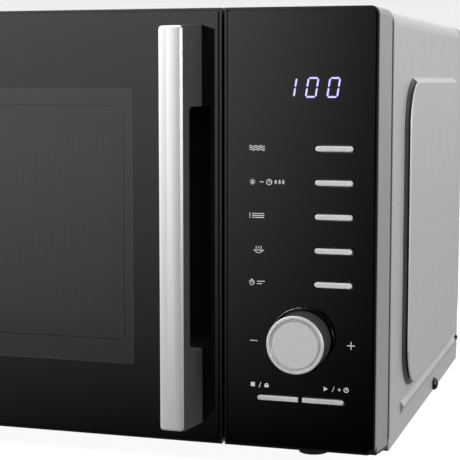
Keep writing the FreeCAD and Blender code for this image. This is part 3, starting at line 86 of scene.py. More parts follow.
def add_world():
    """White studio: bright behind the oven, falling to dark low and right in front of it."""
    front_dark, front_left = 0.12, 0.36
    left_gain, left_slope = 1.85, 2.6
    horizon_offset, upward_gain, upward_limit = 0.265, 3.28, 1.5
    least, below, above = 0.006, 0.6, 1.08
    world = bpy.data.worlds.new("studio")
    bpy.context.scene.world = world
    world.use_nodes = True
    tree = world.node_tree
    tree.nodes.clear()
    make = Nodes(tree)
    direction = make("ShaderNodeTexCoord").outputs["Generated"]
    split = make("ShaderNodeSeparateXYZ", {"Vector": direction})
    behind = make.ramp(split.outputs["Y"], [(-0.35, 0.0), (0.25, 1.0)])
    leftward = make.math("MULTIPLY", split.outputs["X"], -1.0)
    across = make.ramp(leftward, [(front_dark, 0.0), (front_left, left_gain)])
    further = make.math("MAXIMUM", make.math("SUBTRACT", leftward, front_left), 0.0)
    across = make.math("ADD", across, make.math("MULTIPLY", further, left_slope))
    upward = make.math("ADD", split.outputs["Z"], horizon_offset)
    upward = make.math("MULTIPLY", upward, upward_gain)
    upward = make.math("MINIMUM", make.math("MAXIMUM", upward, 0.0), upward_limit)
    front = make.math("ADD", make.math("MULTIPLY", across, upward), least)
    skyward = make.ramp(split.outputs["Z"], [(-0.12, below), (0.04, above)])
    level = make.mix_value(behind, front, skyward)
    shade = make("ShaderNodeBackground", {"Strength": level})
    make("ShaderNodeOutputWorld", {"Surface": shade.outputs[0]})


class Nodes:
    """Short way to add shader nodes and link them."""

    def __init__(self, tree):
        self.tree = tree

    def __call__(self, kind, inputs=None, **settings):
        node = self.tree.nodes.new(kind)
        for name, value in settings.items():
            setattr(node, name, value)
        for name, value in (inputs or {}).items():
            self.feed(node.inputs[name], value)
        return node

    def feed(self, socket, value):
        """Link a socket to another one, or give it a value."""
        if isinstance(value, bpy.types.NodeSocket):
            self.tree.links.new(value, socket)
        else:
            socket.default_value = value

    def math(self, operation, first, second=0.0):
        node = self("ShaderNodeMath", operation=operation)
        for socket, value in zip(node.inputs, (first, second)):
            self.feed(socket, value)
        return node.outputs[0]

    def vector(self, operation, first, second=(0, 0, 0)):
        node = self("ShaderNodeVectorMath", operation=operation)
        self.feed(node.inputs[0], first)
        self.feed(node.inputs[1], second)
        return node.outputs["Value" if operation == "LENGTH" else "Vector"]

    def ramp(self, value, ends):
        """Smooth step between two (value, result) pairs."""
        (start, low), (end, high) = ends
        node = self("ShaderNodeMapRange", {
            "Value": value, "From Min": start, "From Max": end, "To Min": low, "To Max": high},
            interpolation_type="SMOOTHSTEP")
        return node.outputs["Result"]

    def mix_value(self, factor, first, second):
        """The first number at factor 0, the second at 1."""
        node = self("ShaderNodeMix", data_type="FLOAT")
        for name, value in (("Factor", factor), ("A", first), ("B", second)):
            socket = [item for item in node.inputs
                      if item.name == name and item.type == "VALUE"][0]
            self.feed(socket, value)
        return [item for item in node.outputs if item.type == "VALUE"][0]

    def mix_color(self, factor, first, second):
        """The first colour at factor 0, the second at 1."""
        node = self("ShaderNodeMix", data_type="RGBA")
        self.feed(node.inputs[0], factor)
        for index, value in ((6, first), (7, second)):
            self.feed(node.inputs[index], value if isinstance(value, bpy.types.NodeSocket)
                      else (*value, 1.0))
        return node.outputs[2]

    def place(self):
        """Position on the part in metres, fixed to the part."""
        return self("ShaderNodeTexCoord").outputs["Object"]

    def noise(self, stretch, detail=2.0):
        """Noise whose cells are 1/stretch metres along each axis."""
        scaled = self.vector("MULTIPLY", self.place(), stretch)
        node = self("ShaderNodeTexNoise", {"Vector": scaled, "Scale": 1.0, "Detail": detail,
                                           "Roughness": 0.5})
        return node.outputs["Fac"]

    def rounded_mask(self, low, high, radius, blur):
        """1 inside a rounded rectangle between two (x, z) corners, 0 outside."""
        centre = ((low[0] + high[0]) / 2, 0, (low[1] + high[1]) / 2)
        half = ((high[0] - low[0]) / 2, (high[1] - low[1]) / 2)
        flat = self.vector("MULTIPLY", self.place(), (1, 0, 1))
        away = self.vector("ABSOLUTE", self.vector("SUBTRACT", flat, centre))
        inner = (half[0] - radius, 0, half[1] - radius)
        corner = self.vector("MAXIMUM", self.vector("SUBTRACT", away, inner), (0, 0, 0))
        distance = self.vector("LENGTH", corner)
        return self.ramp(distance, [(radius - blur, 1.0), (radius + blur, 0.0)])

    def outline_mask(self, low, high, radius, width, blur):
        """1 on a line of that width just inside a rounded rectangle."""
        outer = self.rounded_mask(low, high, radius, blur)
        inner = self.rounded_mask((low[0] + width, low[1] + width),
                                  (high[0] - width, high[1] - width), radius - width, blur)
        return self.math("SUBTRACT", outer, inner)


def add_studio():
    """Pale floor that gives off most of its own light, and four soft lights."""
    bpy.context.scene.view_settings.view_transform = "Standard"
    mesh = bpy.data.meshes.new("floor")
    reach = 4.0
    mesh.from_pydata([(-reach, -reach, 0), (reach, -reach, 0), (reach, reach, 0),
                      (-reach, reach, 0)], [], [(0, 1, 2, 3)])
    floor = bpy.data.objects.new("floor", mesh)
    floor.location.z = -0.0005
    bpy.context.collection.objects.link(floor)
    shade, _, bsdf = new_material("floor_white", (0.22, 0.22, 0.22), 0.9)
    bsdf.inputs["Emission Color"].default_value = (1, 1, 1, 1)
    bsdf.inputs["Emission Strength"].default_value = 0.92
    mesh.materials.append(shade)
    floor.visible_glossy = False
    floor.visible_diffuse = False
    add_softbox("key", (-1.6, -1.9, 2.1), (0, 0, 0.12), (1.8, 1.4), 50)
    add_softbox("right", (2.4, -0.8, 0.75), (0.1, 0, 0.12), (1.2, 1.5), 41)
    add_softbox("strip", (1.55, -1.60, 0.42), (0.11, -0.18, 0.14), (0.22, 0.8), 3.2)
    add_softbox("top", (0.5, 0.3, 2.2), (0.1, 0.1, 0.2), (1.6, 1.6), 46)


# ---------------------------------------------------------------- materials
def new_material(name, color, roughness, metallic=0.0, **sockets):
    """Principled material; extra names are sockets with spaces written as underscores."""
    shade = bpy.data.materials.new(name)
    shade.use_nodes = True
    tree = shade.node_tree
    make = Nodes(tree)
    bsdf = tree.nodes["Principled BSDF"]
    bsdf.inputs["Base Color"].default_value = (*color, 1)
    bsdf.inputs["Roughness"].default_value = roughness
    bsdf.inputs["Metallic"].default_value = metallic
    for socket, value in sockets.items():
        bsdf.inputs[socket.replace("_", " ")].default_value = value
    return shade, make, bsdf


def vary(make, bsdf, color, amount, stretch, detail=2.0):
    """Lighten and darken the base colour with noise."""
    noise = make.noise(stretch, detail)
    low = [channel * (1 - amount) for channel in color]
    high = [min(channel * (1 + amount), 1) for channel in color]
    make.feed(bsdf.inputs["Base Color"], make.mix_color(make.ramp(noise, [(0.3, 0), (0.7, 1)]),
                                                        low, high))


def roughen(make, bsdf, low, high, stretch, detail=2.0):
    """Let noise move the roughness between two values."""
    noise = make.noise(stretch, detail)
    make.feed(bsdf.inputs["Roughness"], make.ramp(noise, [(0.3, low), (0.7, high)]))


def relief(make, bsdf, height, distance):
    """Bump from a height between 0 and 1, worth so many metres."""
    bump = make("ShaderNodeBump", {"Height": height, "Distance": distance, "Strength": 1.0})
    make.feed(bsdf.inputs["Normal"], bump.outputs["Normal"])


def silver_paint():
    """Fine metallic paint on steel sheet, with a faint orange peel."""
    color = (0.43, 0.43, 0.433)
    shade, make, bsdf = new_material("silver_paint", color, 0.42, 0.5)
    vary(make, bsdf, color, 0.02, (2600, 2600, 2600), 3)
    roughen(make, bsdf, 0.40, 0.45, (60, 60, 60))
    relief(make, bsdf, make.noise((260, 260, 260), 2), 0.000008)
    return shade


def trim_paint():
    """Silver paint over moulded plastic."""
    color = (0.265, 0.265, 0.268)
    shade, make, bsdf = new_material("trim_paint", color, 0.40, 0.5)
    vary(make, bsdf, color, 0.02, (2600, 2600, 2600), 3)
    roughen(make, bsdf, 0.38, 0.42, (60, 60, 60))
    relief(make, bsdf, make.noise((180, 180, 180), 2), 0.000003)
    return shade


def black_gloss():
    """Polished black plastic."""
    color = (0.006, 0.006, 0.0065)
    shade, make, bsdf = new_material("black_gloss", color, 0.12)
    roughen(make, bsdf, 0.11, 0.14, (500, 500, 500))
    relief(make, bsdf, make.noise((300, 300, 300)), 0.000003)
    return shade


def moulded_plastic(name, color, rough):
    """Moulded plastic with a fine spark-eroded grain."""
    grain = 2200
    shade, make, bsdf = new_material(name, color, rough)
    vary(make, bsdf, color, 0.12, (900, 900, 900), 3)
    roughen(make, bsdf, rough - 0.06, rough + 0.06, (200, 200, 200))
    relief(make, bsdf, make.noise((grain, grain, grain), 3), 0.00001)
    return shade


def brushed(name, color, rough, stretch, metallic, variation, depth):
    """Metal with fine parallel scratches: the stretch is smallest along them."""
    shade, make, bsdf = new_material(name, color, rough, metallic)
    vary(make, bsdf, color, variation, stretch, 4)
    roughen(make, bsdf, rough - 0.02, rough + 0.03, stretch, 3)
    relief(make, bsdf, make.noise(stretch, 4), depth)
    return shade


def spun_metal():
    """Metal turned on a lathe: rings about the knob's axis."""
    ring_rate = 30000.0
    color = (0.66, 0.66, 0.67)
    shade, make, bsdf = new_material("knob_face", color, 0.42, 0.55)
    low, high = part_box("knob_disc")
    centre = ((low.x + high.x) / 2, 0, (low.z + high.z) / 2)
    flat = make.vector("MULTIPLY", make.place(), (1, 0, 1))
    distance = make.vector("LENGTH", make.vector("SUBTRACT", flat, centre))
    rings = make.math("SINE", make.math("MULTIPLY", distance, ring_rate))
    relief(make, bsdf, rings, 0.0000008)
    vary(make, bsdf, color, 0.02, (400, 400, 400), 3)
    roughen(make, bsdf, 0.40, 0.45, (300, 300, 300))
    return shade


# printed window of the door, as (x, z) corners in metres
WINDOW_LOW = (-0.170, 0.0579)
WINDOW_HIGH = (0.0761, 0.219)
LINE_LOW = (-0.165, 0.0718)
LINE_HIGH = (0.071, 0.2095)
MESH_LOW = (-0.157, 0.084)
MESH_HIGH = (0.061, 0.194)


def door_glass_material():
    """Black glass, with the perforated screen showing faintly through its window."""
    border = (0.0018, 0.0018, 0.0020)
    shade, make, bsdf = new_material("door_glass_black", border, 0.045)
    window = make.rounded_mask(WINDOW_LOW, WINDOW_HIGH, 0.8 * MM, 0.15 * MM)
    edge = make.outline_mask(WINDOW_LOW, WINDOW_HIGH, 0.8 * MM, 0.5 * MM, 0.15 * MM)
    line = make.outline_mask(LINE_LOW, LINE_HIGH, 5 * MM, 0.8 * MM, 0.2 * MM)
    mesh_zone = make.rounded_mask(MESH_LOW, MESH_HIGH, 8 * MM, 7 * MM)
    pitch = 1.9 * MM
    cell = make.vector("MULTIPLY", make.place(), (1 / pitch, 0, 1.7 / pitch))
    cells = make("ShaderNodeTexVoronoi", {"Vector": cell, "Scale": 1.0, "Randomness": 0.0})
    holes = make.ramp(cells.outputs["Distance"], [(0.22, 1.0), (0.42, 0.0)])
    dots = make.math("MULTIPLY", holes, mesh_zone)
    color = make.mix_color(window, border, (0.0190, 0.0190, 0.0195))
    color = make.mix_color(edge, color, (0.030, 0.030, 0.031))
    color = make.mix_color(line, color, (0.006, 0.006, 0.0062))
    color = make.mix_color(dots, color, (0.0290, 0.0290, 0.0295))
    make.feed(bsdf.inputs["Base Color"], color)
    return shade


def panel_glass_material():
    """Black glass, hardly lighter where the display lies behind it."""
    base = (0.0005, 0.0005, 0.0006)
    shade, make, bsdf = new_material("panel_glass_black", base, 0.05)
    low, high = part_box("display_module")
    window = make.rounded_mask((low.x, low.z), (high.x, high.z), 0.8 * MM, 0.2 * MM)
    make.feed(bsdf.inputs["Base Color"],
              make.mix_color(window, base, (0.0010, 0.0009, 0.0013)))
    return shade


def plain(name, color, rough, metallic=0.0, grain=600, depth=0.00001):
    """Base colour, roughness and a fine surface all broken up by noise of one grain."""
    shade, make, bsdf = new_material(name, color, rough, metallic)
    vary(make, bsdf, color, 0.06, (grain, grain, grain), 3)
    roughen(make, bsdf, max(rough - 0.06, 0.02), rough + 0.06, (grain / 4,) * 3)
    relief(make, bsdf, make.noise((grain, grain, grain), 3), depth)
    return shade


def clear_glass(name, color, rough, alpha):
    """Thin clear sheet or glass, part of which is see-through."""
    shade, make, bsdf = new_material(name, color, rough, Alpha=alpha)
    roughen(make, bsdf, rough, rough + 0.05, (40, 40, 40))
    return shade


def glow(name, color, strength):
    """Surface that gives off its own light."""
    shade, make, bsdf = new_material(name, color, 0.4)
    vary(make, bsdf, color, 0.05, (900, 900, 900))
    bsdf.inputs["Emission Color"].default_value = (*color, 1)
    bsdf.inputs["Emission Strength"].default_value = strength
    return shade


def make_materials():
    """Every look by name."""
    return {
        "silver_paint": silver_paint(),
        "silver_trim": trim_paint(),
        "black_gloss": black_gloss(),
        "door_glass": door_glass_material(),
        "panel_glass": panel_glass_material(),
        "knob_face": spun_metal(),
        "black_plastic": moulded_plastic("black_plastic", (0.016, 0.016, 0.017), 0.5),
        "vent_grey": moulded_plastic("vent_grey", (0.012, 0.012, 0.0125), 0.42),
        "handle_grey": moulded_plastic("handle_grey", (0.052, 0.052, 0.054), 0.36),
        "brushed_silver": brushed("brushed_silver", (0.69, 0.69, 0.70), 0.32, (2600, 2600, 10),
                                  0.62, 0.012, 0.0000006),
        "knob_grey": plain("knob_grey", (0.055, 0.055, 0.058), 0.38, 0.3, 1200, 0.000002),
        "button_silver": plain("button_silver", (0.60, 0.60, 0.605), 0.34, 0.2, 900, 0.000001),
        "galvanised": plain("galvanised", (0.5, 0.5, 0.51), 0.42, 0.9, 120, 0.00002),
        "screen_steel": plain("screen_steel", (0.02, 0.02, 0.02), 0.35, 0.0, 900),
        "cavity_enamel": plain("cavity_enamel", (0.33, 0.33, 0.34), 0.4, 0.2, 1400),
        "steel": plain("steel", (0.55, 0.55, 0.56), 0.3, 1.0, 400),
        "zinc_black": plain("zinc_black", (0.012, 0.012, 0.012), 0.34, 0.3, 900),
        "copper": plain("copper", (0.45, 0.16, 0.06), 0.35, 0.8, 700),
        "aluminium": plain("aluminium", (0.7, 0.7, 0.71), 0.35, 1.0, 300),
        "mica": plain("mica", (0.42, 0.35, 0.23), 0.6, 0.0, 500),
        "board_green": plain("board_green", (0.02, 0.09, 0.035), 0.3, 0.0, 400),
        "white_plastic": plain("white_plastic", (0.72, 0.71, 0.68), 0.45, 0.0, 900),
        "display_dark": plain("display_dark", (0.01, 0.008, 0.014), 0.2, 0.0, 400),
        "rubber": plain("rubber", (0.012, 0.012, 0.012), 0.75, 0.0, 1500, 0.00003),
        "clear_film": clear_glass("clear_film", (0.5, 0.52, 0.52), 0.05, 0.3),
        "lamp_glass": clear_glass("lamp_glass", (0.8, 0.78, 0.7), 0.03, 0.5),
        "table_glass": clear_glass("table_glass", (0.62, 0.7, 0.67), 0.04, 0.42),
        "display_glow": glow("display_glow", (0.42, 0.36, 0.84), 0.95),
        "dark_chrome": plain("dark_chrome", (0.34, 0.34, 0.35), 0.2, 1.0, 900, 0.000001),
        "print_white": plain("print_white", (0.80, 0.80, 0.80), 0.5, 0.0, 2000, 0.000002),
    }


def assign(thing, shade):
    """Give a thing one material."""
    thing.data.materials.clear()
    thing.data.materials.append(shade)


# a slot's look is named after it unless it stands here; the nodes' own looks come first
SLOT_LOOKS = {"black_glass": "door_glass"}
# the front plate takes black plastic as painted shade, so the seam between the front and the cover
# reads dark
NODE_LOOKS = {"panel_glass": "panel_glass", "knob_disc": "knob_face",
              "vent_baffles": "vent_grey", "front_plate": "black_plastic"}
# width of each node's bevel in millimetres
NODE_BEVELS = {
    "handle_base": 0.7, "knob_disc": 0.25, "door_glass": 0.25, "panel_glass": 0.25,
    "control_housing": 0.3, "door_frame": 0.2, "panel_frame": 0.2, "feet": 0.9,
    "turntable_plate": 1.0, "roller_1": 0.8, "roller_2": 0.8, "roller_3": 0.8,
}


def add_bevel(piece, width):
    """Round the hard edges of a node."""
    bevel = piece.modifiers.new("bevel", "BEVEL")
    bevel.width = width
    bevel.segments = 3
    bevel.limit_method = "ANGLE"
    bevel.angle_limit = math.radians(35)


def dress_cad_nodes():
    """Give every CAD node the material of its slot, and small bevels on its hard edges."""
    for part in frame["record"]["subparts"]:
        node, slot = part["node"], part["material_slot"]
        look = NODE_LOOKS.get(node, SLOT_LOOKS.get(slot, slot))
        assign(nodes[node], shades[look])
    for node, width in NODE_BEVELS.items():
        add_bevel(nodes[node], width * MM)


# ---------------------------------------------------------------- pieces
def new_piece(name, points, faces, look, body, smooth=False):
    """Mesh in metres that rides on a body and takes a slot's finish."""
    mesh = bpy.data.meshes.new(name)
    mesh.from_pydata([tuple(point) for point in points], [], faces)
    mesh.validate()
    build = bmesh.new()
    build.from_mesh(mesh)
    bmesh.ops.recalc_face_normals(build, faces=build.faces)
    for face in build.faces:
        face.smooth = smooth
    build.to_mesh(mesh)
    build.free()
    piece = bpy.data.objects.new(name, mesh)
    bpy.context.collection.objects.link(piece)
    assign(piece, shades[look])
    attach(piece, body)
    return piece


def ring_faces(rings):
    """Points and faces of a closed solid through rings of equal point count."""
    count = len(rings[0])
    points = [point for ring in rings for point in ring]
    faces = [tuple(range(count)), tuple(range(len(points) - 1, len(points) - count - 1, -1))]
    for row in range(len(rings) - 1):
        for index in range(count):
            following = (index + 1) % count
            faces.append((row * count + index, row * count + following,
                          (row + 1) * count + following, (row + 1) * count + index))
    return points, faces


def rounded_outline(left, bottom, right, top, radius, steps=6):
    """(x, z) points of a rounded rectangle, counterclockwise from the front."""
    outline = []
    corners = ((right - radius, bottom + radius, -90), (right - radius, top - radius, 0),
               (left + radius, top - radius, 90), (left + radius, bottom + radius, 180))
    for x, z, start in corners:
        outline += arc_points((x, z), radius, start, start + 90, steps)
    return outline


def arc_points(centre, radius, start, end, steps):
    """Points on an arc in X and Z; angles in degrees from +X."""
    result = []
    for index in range(steps + 1):
        angle = math.radians(start + (end - start) * index / steps)
        result.append((centre[0] + radius * math.cos(angle),
                       centre[1] + radius * math.sin(angle)))
    return result


def add_handle_face():
    """Crowned silver face of the handle with a chamfer all round."""
    low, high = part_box("handle_bar")
    corner, least_corner = 2.2 * MM, 0.3 * MM
    sharp_angle = math.radians(14)
    depth = high.y - low.y
    # inset in x and z in millimetres, then the share of the depth reached there
    levels = ((0.0, 0.0, 0.0), (0.0, 0.0, 0.1), (1.4, 0.8, 0.84), (2.4, 0.9, 0.92),
              (3.6, 1.0, 0.98), (4.6, 1.1, 1.0))
    rings = []
    for inset_x, inset_z, share in levels:
        inset_x *= MM
        inset_z *= MM
        y = high.y - depth * share
        outline = rounded_outline(low.x + inset_x, low.z + inset_z, high.x - inset_x,
                                  high.z - inset_z, max(corner - inset_x, least_corner))
        rings.append([(x, y, z) for x, z in outline])
    points, faces = ring_faces(rings)
    piece = new_piece("handle_face", points, faces, "brushed_silver", "door",
                      smooth=True)
    piece.data.set_sharp_from_angle(angle=sharp_angle)
    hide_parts("handle_bar")


# finger recess of the handle: its wall in y, its ends in z
FINGER_WALL = -0.1715
FINGER_BOTTOM = 0.0698
FINGER_TOP = 0.2090


def add_handle_corners():
    """Wider hollow corners at both ends of the finger recess."""
    low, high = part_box("handle_base")
    middle = (low.x + high.x) / 2
    radius, sunk, draft = 4 * MM, 0.2 * MM, 1.45 / 28.8
    shapes = []
    for end, upward in ((FINGER_BOTTOM, 1), (FINGER_TOP, -1)):
        arc = arc_points((FINGER_WALL + radius, radius), radius, 180, 270, 10)
        side = [(FINGER_WALL - sunk, -sunk), (FINGER_WALL - sunk, radius)] + arc
        side.append((FINGER_WALL + radius, -sunk))
        rings = []
        for sign in (-1, 1):
            rings.append([(middle + sign * ((high.x - low.x) / 2 - draft * (high.y - y)), y,
                           end + upward * rise) for y, rise in side])
        shapes.append(ring_faces(rings))
    points, faces = join(shapes)
    new_piece("handle_corners", points, faces, "handle_grey", "door")


def loop_faces(rings, count):
    """Faces of a closed loop of so many rings, each with the same count of points."""
    faces = []
    for row in range(rings):
        following = (row + 1) % rings
        for index in range(count):
            further = (index + 1) % count
            faces.append((row * count + index, row * count + further,
                          following * count + further, following * count + index))
    return faces


def turned(profile, centre, ribs=0, rib_depth=0.0, steps=288):
    """Points and faces of a closed profile of (radius, y, ribbed) turned about Y.

    The reach of a point marked ribbed dips by rib_depth between ribs.
    """
    points = []
    for step in range(steps):
        angle = 2 * math.pi * step / steps
        dip = rib_depth * (0.5 - 0.5 * math.cos(ribs * angle))
        for radius, y, ribbed in profile:
            reach = radius - dip * ribbed
            points.append((centre[0] + reach * math.cos(angle), y,
                           centre[1] + reach * math.sin(angle)))
    return points, loop_faces(steps, len(profile))


def add_knob():
    """Knob skirt with fine ribs, its silver rim and the thin ring inside the rim."""
    low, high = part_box("knob")
    centre = ((low.x + high.x) / 2, (low.z + high.z) / 2)
    outer = (high.x - low.x) / 2
    front, back = low.y, high.y
    rim_inner, wall_inner = outer - 2.0 * MM, outer - 1.9 * MM
    floor = front + 1.7 * MM
    skirt = [(wall_inner, back, 0), (outer - 0.2 * MM, back, 0),
             (outer, back - 0.3 * MM, 1), (outer - 0.15 * MM, front + 1.4 * MM, 1),
             (outer - 0.35 * MM, front + 1.0 * MM, 0), (rim_inner + 0.1 * MM, front + 1.0 * MM, 0),
             (rim_inner + 0.1 * MM, floor, 0), (wall_inner, floor + 0.5 * MM, 0)]
    points, faces = turned(skirt, centre, ribs=72, rib_depth=0.22 * MM, steps=576)
    grip = new_piece("knob_grip", points, faces, "knob_grey", "dial", smooth=True)
    grip.data.set_sharp_from_angle(angle=math.radians(40))
    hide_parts("knob")
    rim = [(rim_inner, front + 1.0 * MM, 0), (rim_inner, front + 0.12 * MM, 0),
           (rim_inner + 0.12 * MM, front + 0.01 * MM, 0), (rim_inner + 1.0 * MM, front, 0),
           (outer - 0.4 * MM, front + 0.02 * MM, 0), (outer - 0.18 * MM, front + 0.2 * MM, 0),
           (outer - 0.12 * MM, front + 0.95 * MM, 0)]
    points, faces = turned(rim, centre)
    piece = new_piece("knob_rim", points, faces, "knob_face", "dial",
                      smooth=True)
    piece.data.set_sharp_from_angle(angle=math.radians(35))
    inner = rim_inner - 0.38 * MM
    ring = [(inner, floor, 0), (inner, front + 0.2 * MM, 0),
            (inner - 0.08 * MM, front + 0.1 * MM, 0), (inner - 0.52 * MM, front + 0.1 * MM, 0),
            (inner - 0.6 * MM, front + 0.2 * MM, 0), (inner - 0.6 * MM, floor, 0)]
    points, faces = turned(ring, centre)
    new_piece("knob_ring", points, faces, "knob_face", "dial")
    well = [(outer - 1.95 * MM, floor, 0), (outer - 1.95 * MM, floor + 0.6 * MM, 0),
            (0.5 * MM, floor + 0.6 * MM, 0), (0.5 * MM, floor, 0)]
    points, faces = turned(well, centre, steps=96)
    new_piece("knob_well", points, faces, "black_plastic", "dial")


def add_knob_bezel():
    """Thin bevelled ring that lines the knob's hole in the panel glass."""
    low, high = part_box("knob")
    centre = ((low.x + high.x) / 2, (low.z + high.z) / 2)
    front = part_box("panel_glass")[0].y
    clearance, width = 1.75 * MM, 0.4 * MM
    radius = (high.x - low.x) / 2 + clearance
    profile = [(radius - width, front + 1.2 * width, 0), (radius, front - 0.05 * width, 0),
               (radius + 0.1 * width, front, 0), (radius + 0.1 * width, front + 1.2 * width, 0)]
    points, faces = turned(profile, centre, steps=144)
    new_piece("knob_bezel", points, faces, "dark_chrome", "cabinet")


def hoop(outline, profile_of):
    """Closed loop of small profiles set at each point of an outline in X and Z."""
    rings = [profile_of(x, z) for x, z in outline]
    points = [point for ring in rings for point in ring]
    return points, loop_faces(len(rings), len(rings[0]))


# cabinet cover: half width of its flat sides, bend of its corners, start of the front hem
COVER_HALF_WIDTH = 220 * MM
COVER_BEND = 8 * MM
HEM_START = 1.5 * MM


def add_cover_hems():
    """Folded front and rear edges of the cabinet cover, standing slightly proud at the sides."""
    low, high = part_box("cabinet_cover")
    proud, width, steps = 0.45 * MM, 4.2 * MM, 8
    outline = rounded_outline(-COVER_HALF_WIDTH, low.z, COVER_HALF_WIDTH,
                              high.z - 0.05 * MM, COVER_BEND, 8)
    for name, start, end in (("front", low.y + HEM_START, low.y + HEM_START + width),
                             ("rear", high.y - width, high.y)):
        def profile(x, z):
            """Arch that stands proud only at the flat sides."""
            share = max(-1.0, min(1.0, x / (COVER_HALF_WIDTH - 2 * MM)))
            side = share ** 9
            arch = [(x + side * proud * math.sin(math.pi * step / steps),
                     start + (end - start) * step / steps, z) for step in range(steps + 1)]
            inward = side * 0.3 * MM
            return arch + [(x - inward, end, z), (x - inward, start, z)]
        points, faces = hoop(outline, profile)
        new_piece(f"cover_hem_{name}", points, faces, "silver_paint", "cabinet",
                  smooth=True)


def add_seam_shadow_strip():
    """Black strip laid in the seam between the front and the cover as painted shade."""
    low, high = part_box("cabinet_cover")
    front, rear = low.y - 1.9 * MM, low.y + HEM_START
    reach = COVER_HALF_WIDTH + 0.08 * MM
    outline = rounded_outline(-reach, low.z, reach, high.z - 0.1 * MM, COVER_BEND, 8)

    def profile(x, z):
        """Flat band with its inner side half a millimetre in."""
        inward = math.copysign(0.5 * MM, x)
        return [(x, front, z), (x, rear, z), (x - inward, rear, z), (x - inward, front, z)]
    points, faces = hoop(outline, profile)
    new_piece("seam_shadow_strip", points, faces, "black_plastic", "cabinet")


def add_panel_heel():
    """Sloping foot of the control panel's frame, and a black wedge under it as painted shade
    beneath the frame.
    """
    low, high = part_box("panel_frame")
    front, rear = -141 * MM, -112.3 * MM
    ahead, cover, drop, shade_depth = 4 * MM, 4 * MM, 3.5 * MM, 1.6 * MM
    heel = [(front - ahead, low.z + cover), (rear, low.z + cover), (rear, low.z - drop),
            (front, low.z), (front - ahead, low.z + 0.3 * MM)]
    # black wedge under the heel: painted shade beneath the frame
    shade_front = front - 6 * MM
    underside = [(shade_front, low.z), (front, low.z), (rear, low.z - drop),
                 (rear, low.z - drop - shade_depth), (shade_front, low.z - shade_depth / 2)]
    left, right = low.x + 3 * MM, high.x - 0.2 * MM
    for name, look, side in (("panel_heel", "silver_trim", heel),
                             ("panel_underside_shade", "black_plastic", underside)):
        points, faces = ring_faces([[(x, y, z) for y, z in side] for x in (left, right)])
        new_piece(name, points, faces, look, "cabinet")


def add_side_screws():
    """Domed screw heads at the foot of the cover's sides."""
    low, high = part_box("cabinet_screws")
    radius = (high.z - low.z) / 2
    centre_y, centre_z = (low.y + high.y) / 2, (high.z + low.z) / 2
    dome, steps = 3.4 * MM, 40
    # share of the radius, then the share of the dome's height reached there
    levels = ((1.0, 0.0), (1.0, 0.22), (0.96, 0.42), (0.82, 0.68), (0.6, 0.87),
              (0.34, 0.97), (0.2, 1.0), (0.15, 0.6))
    shapes = []
    for sign in (-1, 1):
        rings = []
        for share, rise in levels:
            rings.append([(sign * (COVER_HALF_WIDTH + dome * rise),
                           centre_y + radius * share * math.cos(2 * math.pi * step / steps),
                           centre_z + radius * share * math.sin(2 * math.pi * step / steps))
                          for step in range(steps)])
        shapes.append(ring_faces(rings))
    points, faces = join(shapes)
    piece = new_piece("side_screws", points, faces, "zinc_black", "cabinet",
                      smooth=True)
    piece.data.set_sharp_from_angle(angle=math.radians(40))
    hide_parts("cabinet_screws")


# ---------------------------------------------------------------- printing on the glass
PRINT_PROUD = 0.04 * MM
PRINT_SUNK = 0.01 * MM


def prism(outline, front, back):
    """Closed solid from a flat outline in X and Z, given a thickness in Y."""
    rings = [[(x, front, z) for x, z in outline], [(x, back, z) for x, z in outline]]
    return ring_faces(rings)


def join(shapes):
    """One list of points and faces from several."""
    points, faces = [], []
    for more_points, more_faces in shapes:
        start = len(points)
        points += more_points
        faces += [tuple(start + index for index in face) for face in more_faces]
    return points, faces


def stroke(start, end, width):
    """Outline of a straight stroke with flat ends between two points in X and Z."""
    along = Vector((end[0] - start[0], end[1] - start[1]))
    side = Vector((-along.y, along.x)).normalized() * width / 2
    return [(start[0] + side.x, start[1] + side.y), (end[0] + side.x, end[1] + side.y),
            (end[0] - side.x, end[1] - side.y), (start[0] - side.x, start[1] - side.y)]


def path_strokes(points, width):
    """A stroke for each leg of a path."""
    return [stroke(points[index], points[index + 1], width) for index in range(len(points) - 1)]


def band(points, width):
    """Outline of one continuous line through the points, with mitred bends."""
    left, right = [], []
    for index, point in enumerate(points):
        before = Vector(points[max(index - 1, 0)])
        after = Vector(points[min(index + 1, len(points) - 1)])
        along = (after - before).normalized()
        side = Vector((-along.y, along.x)) * width / 2
        left.append((point[0] + side.x, point[1] + side.y))
        right.append((point[0] - side.x, point[1] - side.y))
    return left + right[::-1]


def closed_band(points, width):
    """Two strips, an upper and a lower half, of a line round a closed path."""
    middle = len(points) // 2
    return [band(points[:middle + 1], width), band(points[middle:] + points[:1], width)]


def add_print(name, outlines, look, body):
    """Thin raised print on the front of the panel glass, in millimetres from its outlines."""
    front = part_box("panel_glass")[0].y
    shapes = [prism([(x * MM, z * MM) for x, z in outline], front - PRINT_PROUD,
                    front + PRINT_SUNK) for outline in outlines]
    points, faces = join(shapes)
    new_piece(name, points, faces, look, body)


def segment(start, end, width):
    """Bar of a seven-segment digit with pointed ends."""
    along = Vector((end[0] - start[0], end[1] - start[1])).normalized() * width / 2
    side = Vector((-along.y, along.x))
    return [(start[0], start[1]), (start[0] + along.x + side.x, start[1] + along.y + side.y),
            (end[0] - along.x + side.x, end[1] - along.y + side.y), (end[0], end[1]),
            (end[0] - along.x - side.x, end[1] - along.y - side.y),
            (start[0] + along.x - side.x, start[1] + along.y - side.y)]


DIGIT_BARS = {"0": "abcdef", "1": "bc"}


def digit(value, left, bottom, width, height):
    """Outlines of one slanted seven-segment digit."""
    lean = 0.16
    gap = 0.25
    thick = 1.0
    middle = height / 2
    ends = {
        "a": ((0, height), (width, height)), "b": ((width, height), (width, middle)),
        "c": ((width, middle), (width, 0)), "d": ((0, 0), (width, 0)),
        "e": ((0, middle), (0, 0)), "f": ((0, height), (0, middle)),
    }
    outlines = []
    for bar in DIGIT_BARS[value]:
        start, end = (Vector(point) for point in ends[bar])
        step = (end - start).normalized() * gap
        outline = segment(start + step, end - step, thick)
        outlines.append([(left + x + lean * z, bottom + z) for x, z in outline])
    return outlines


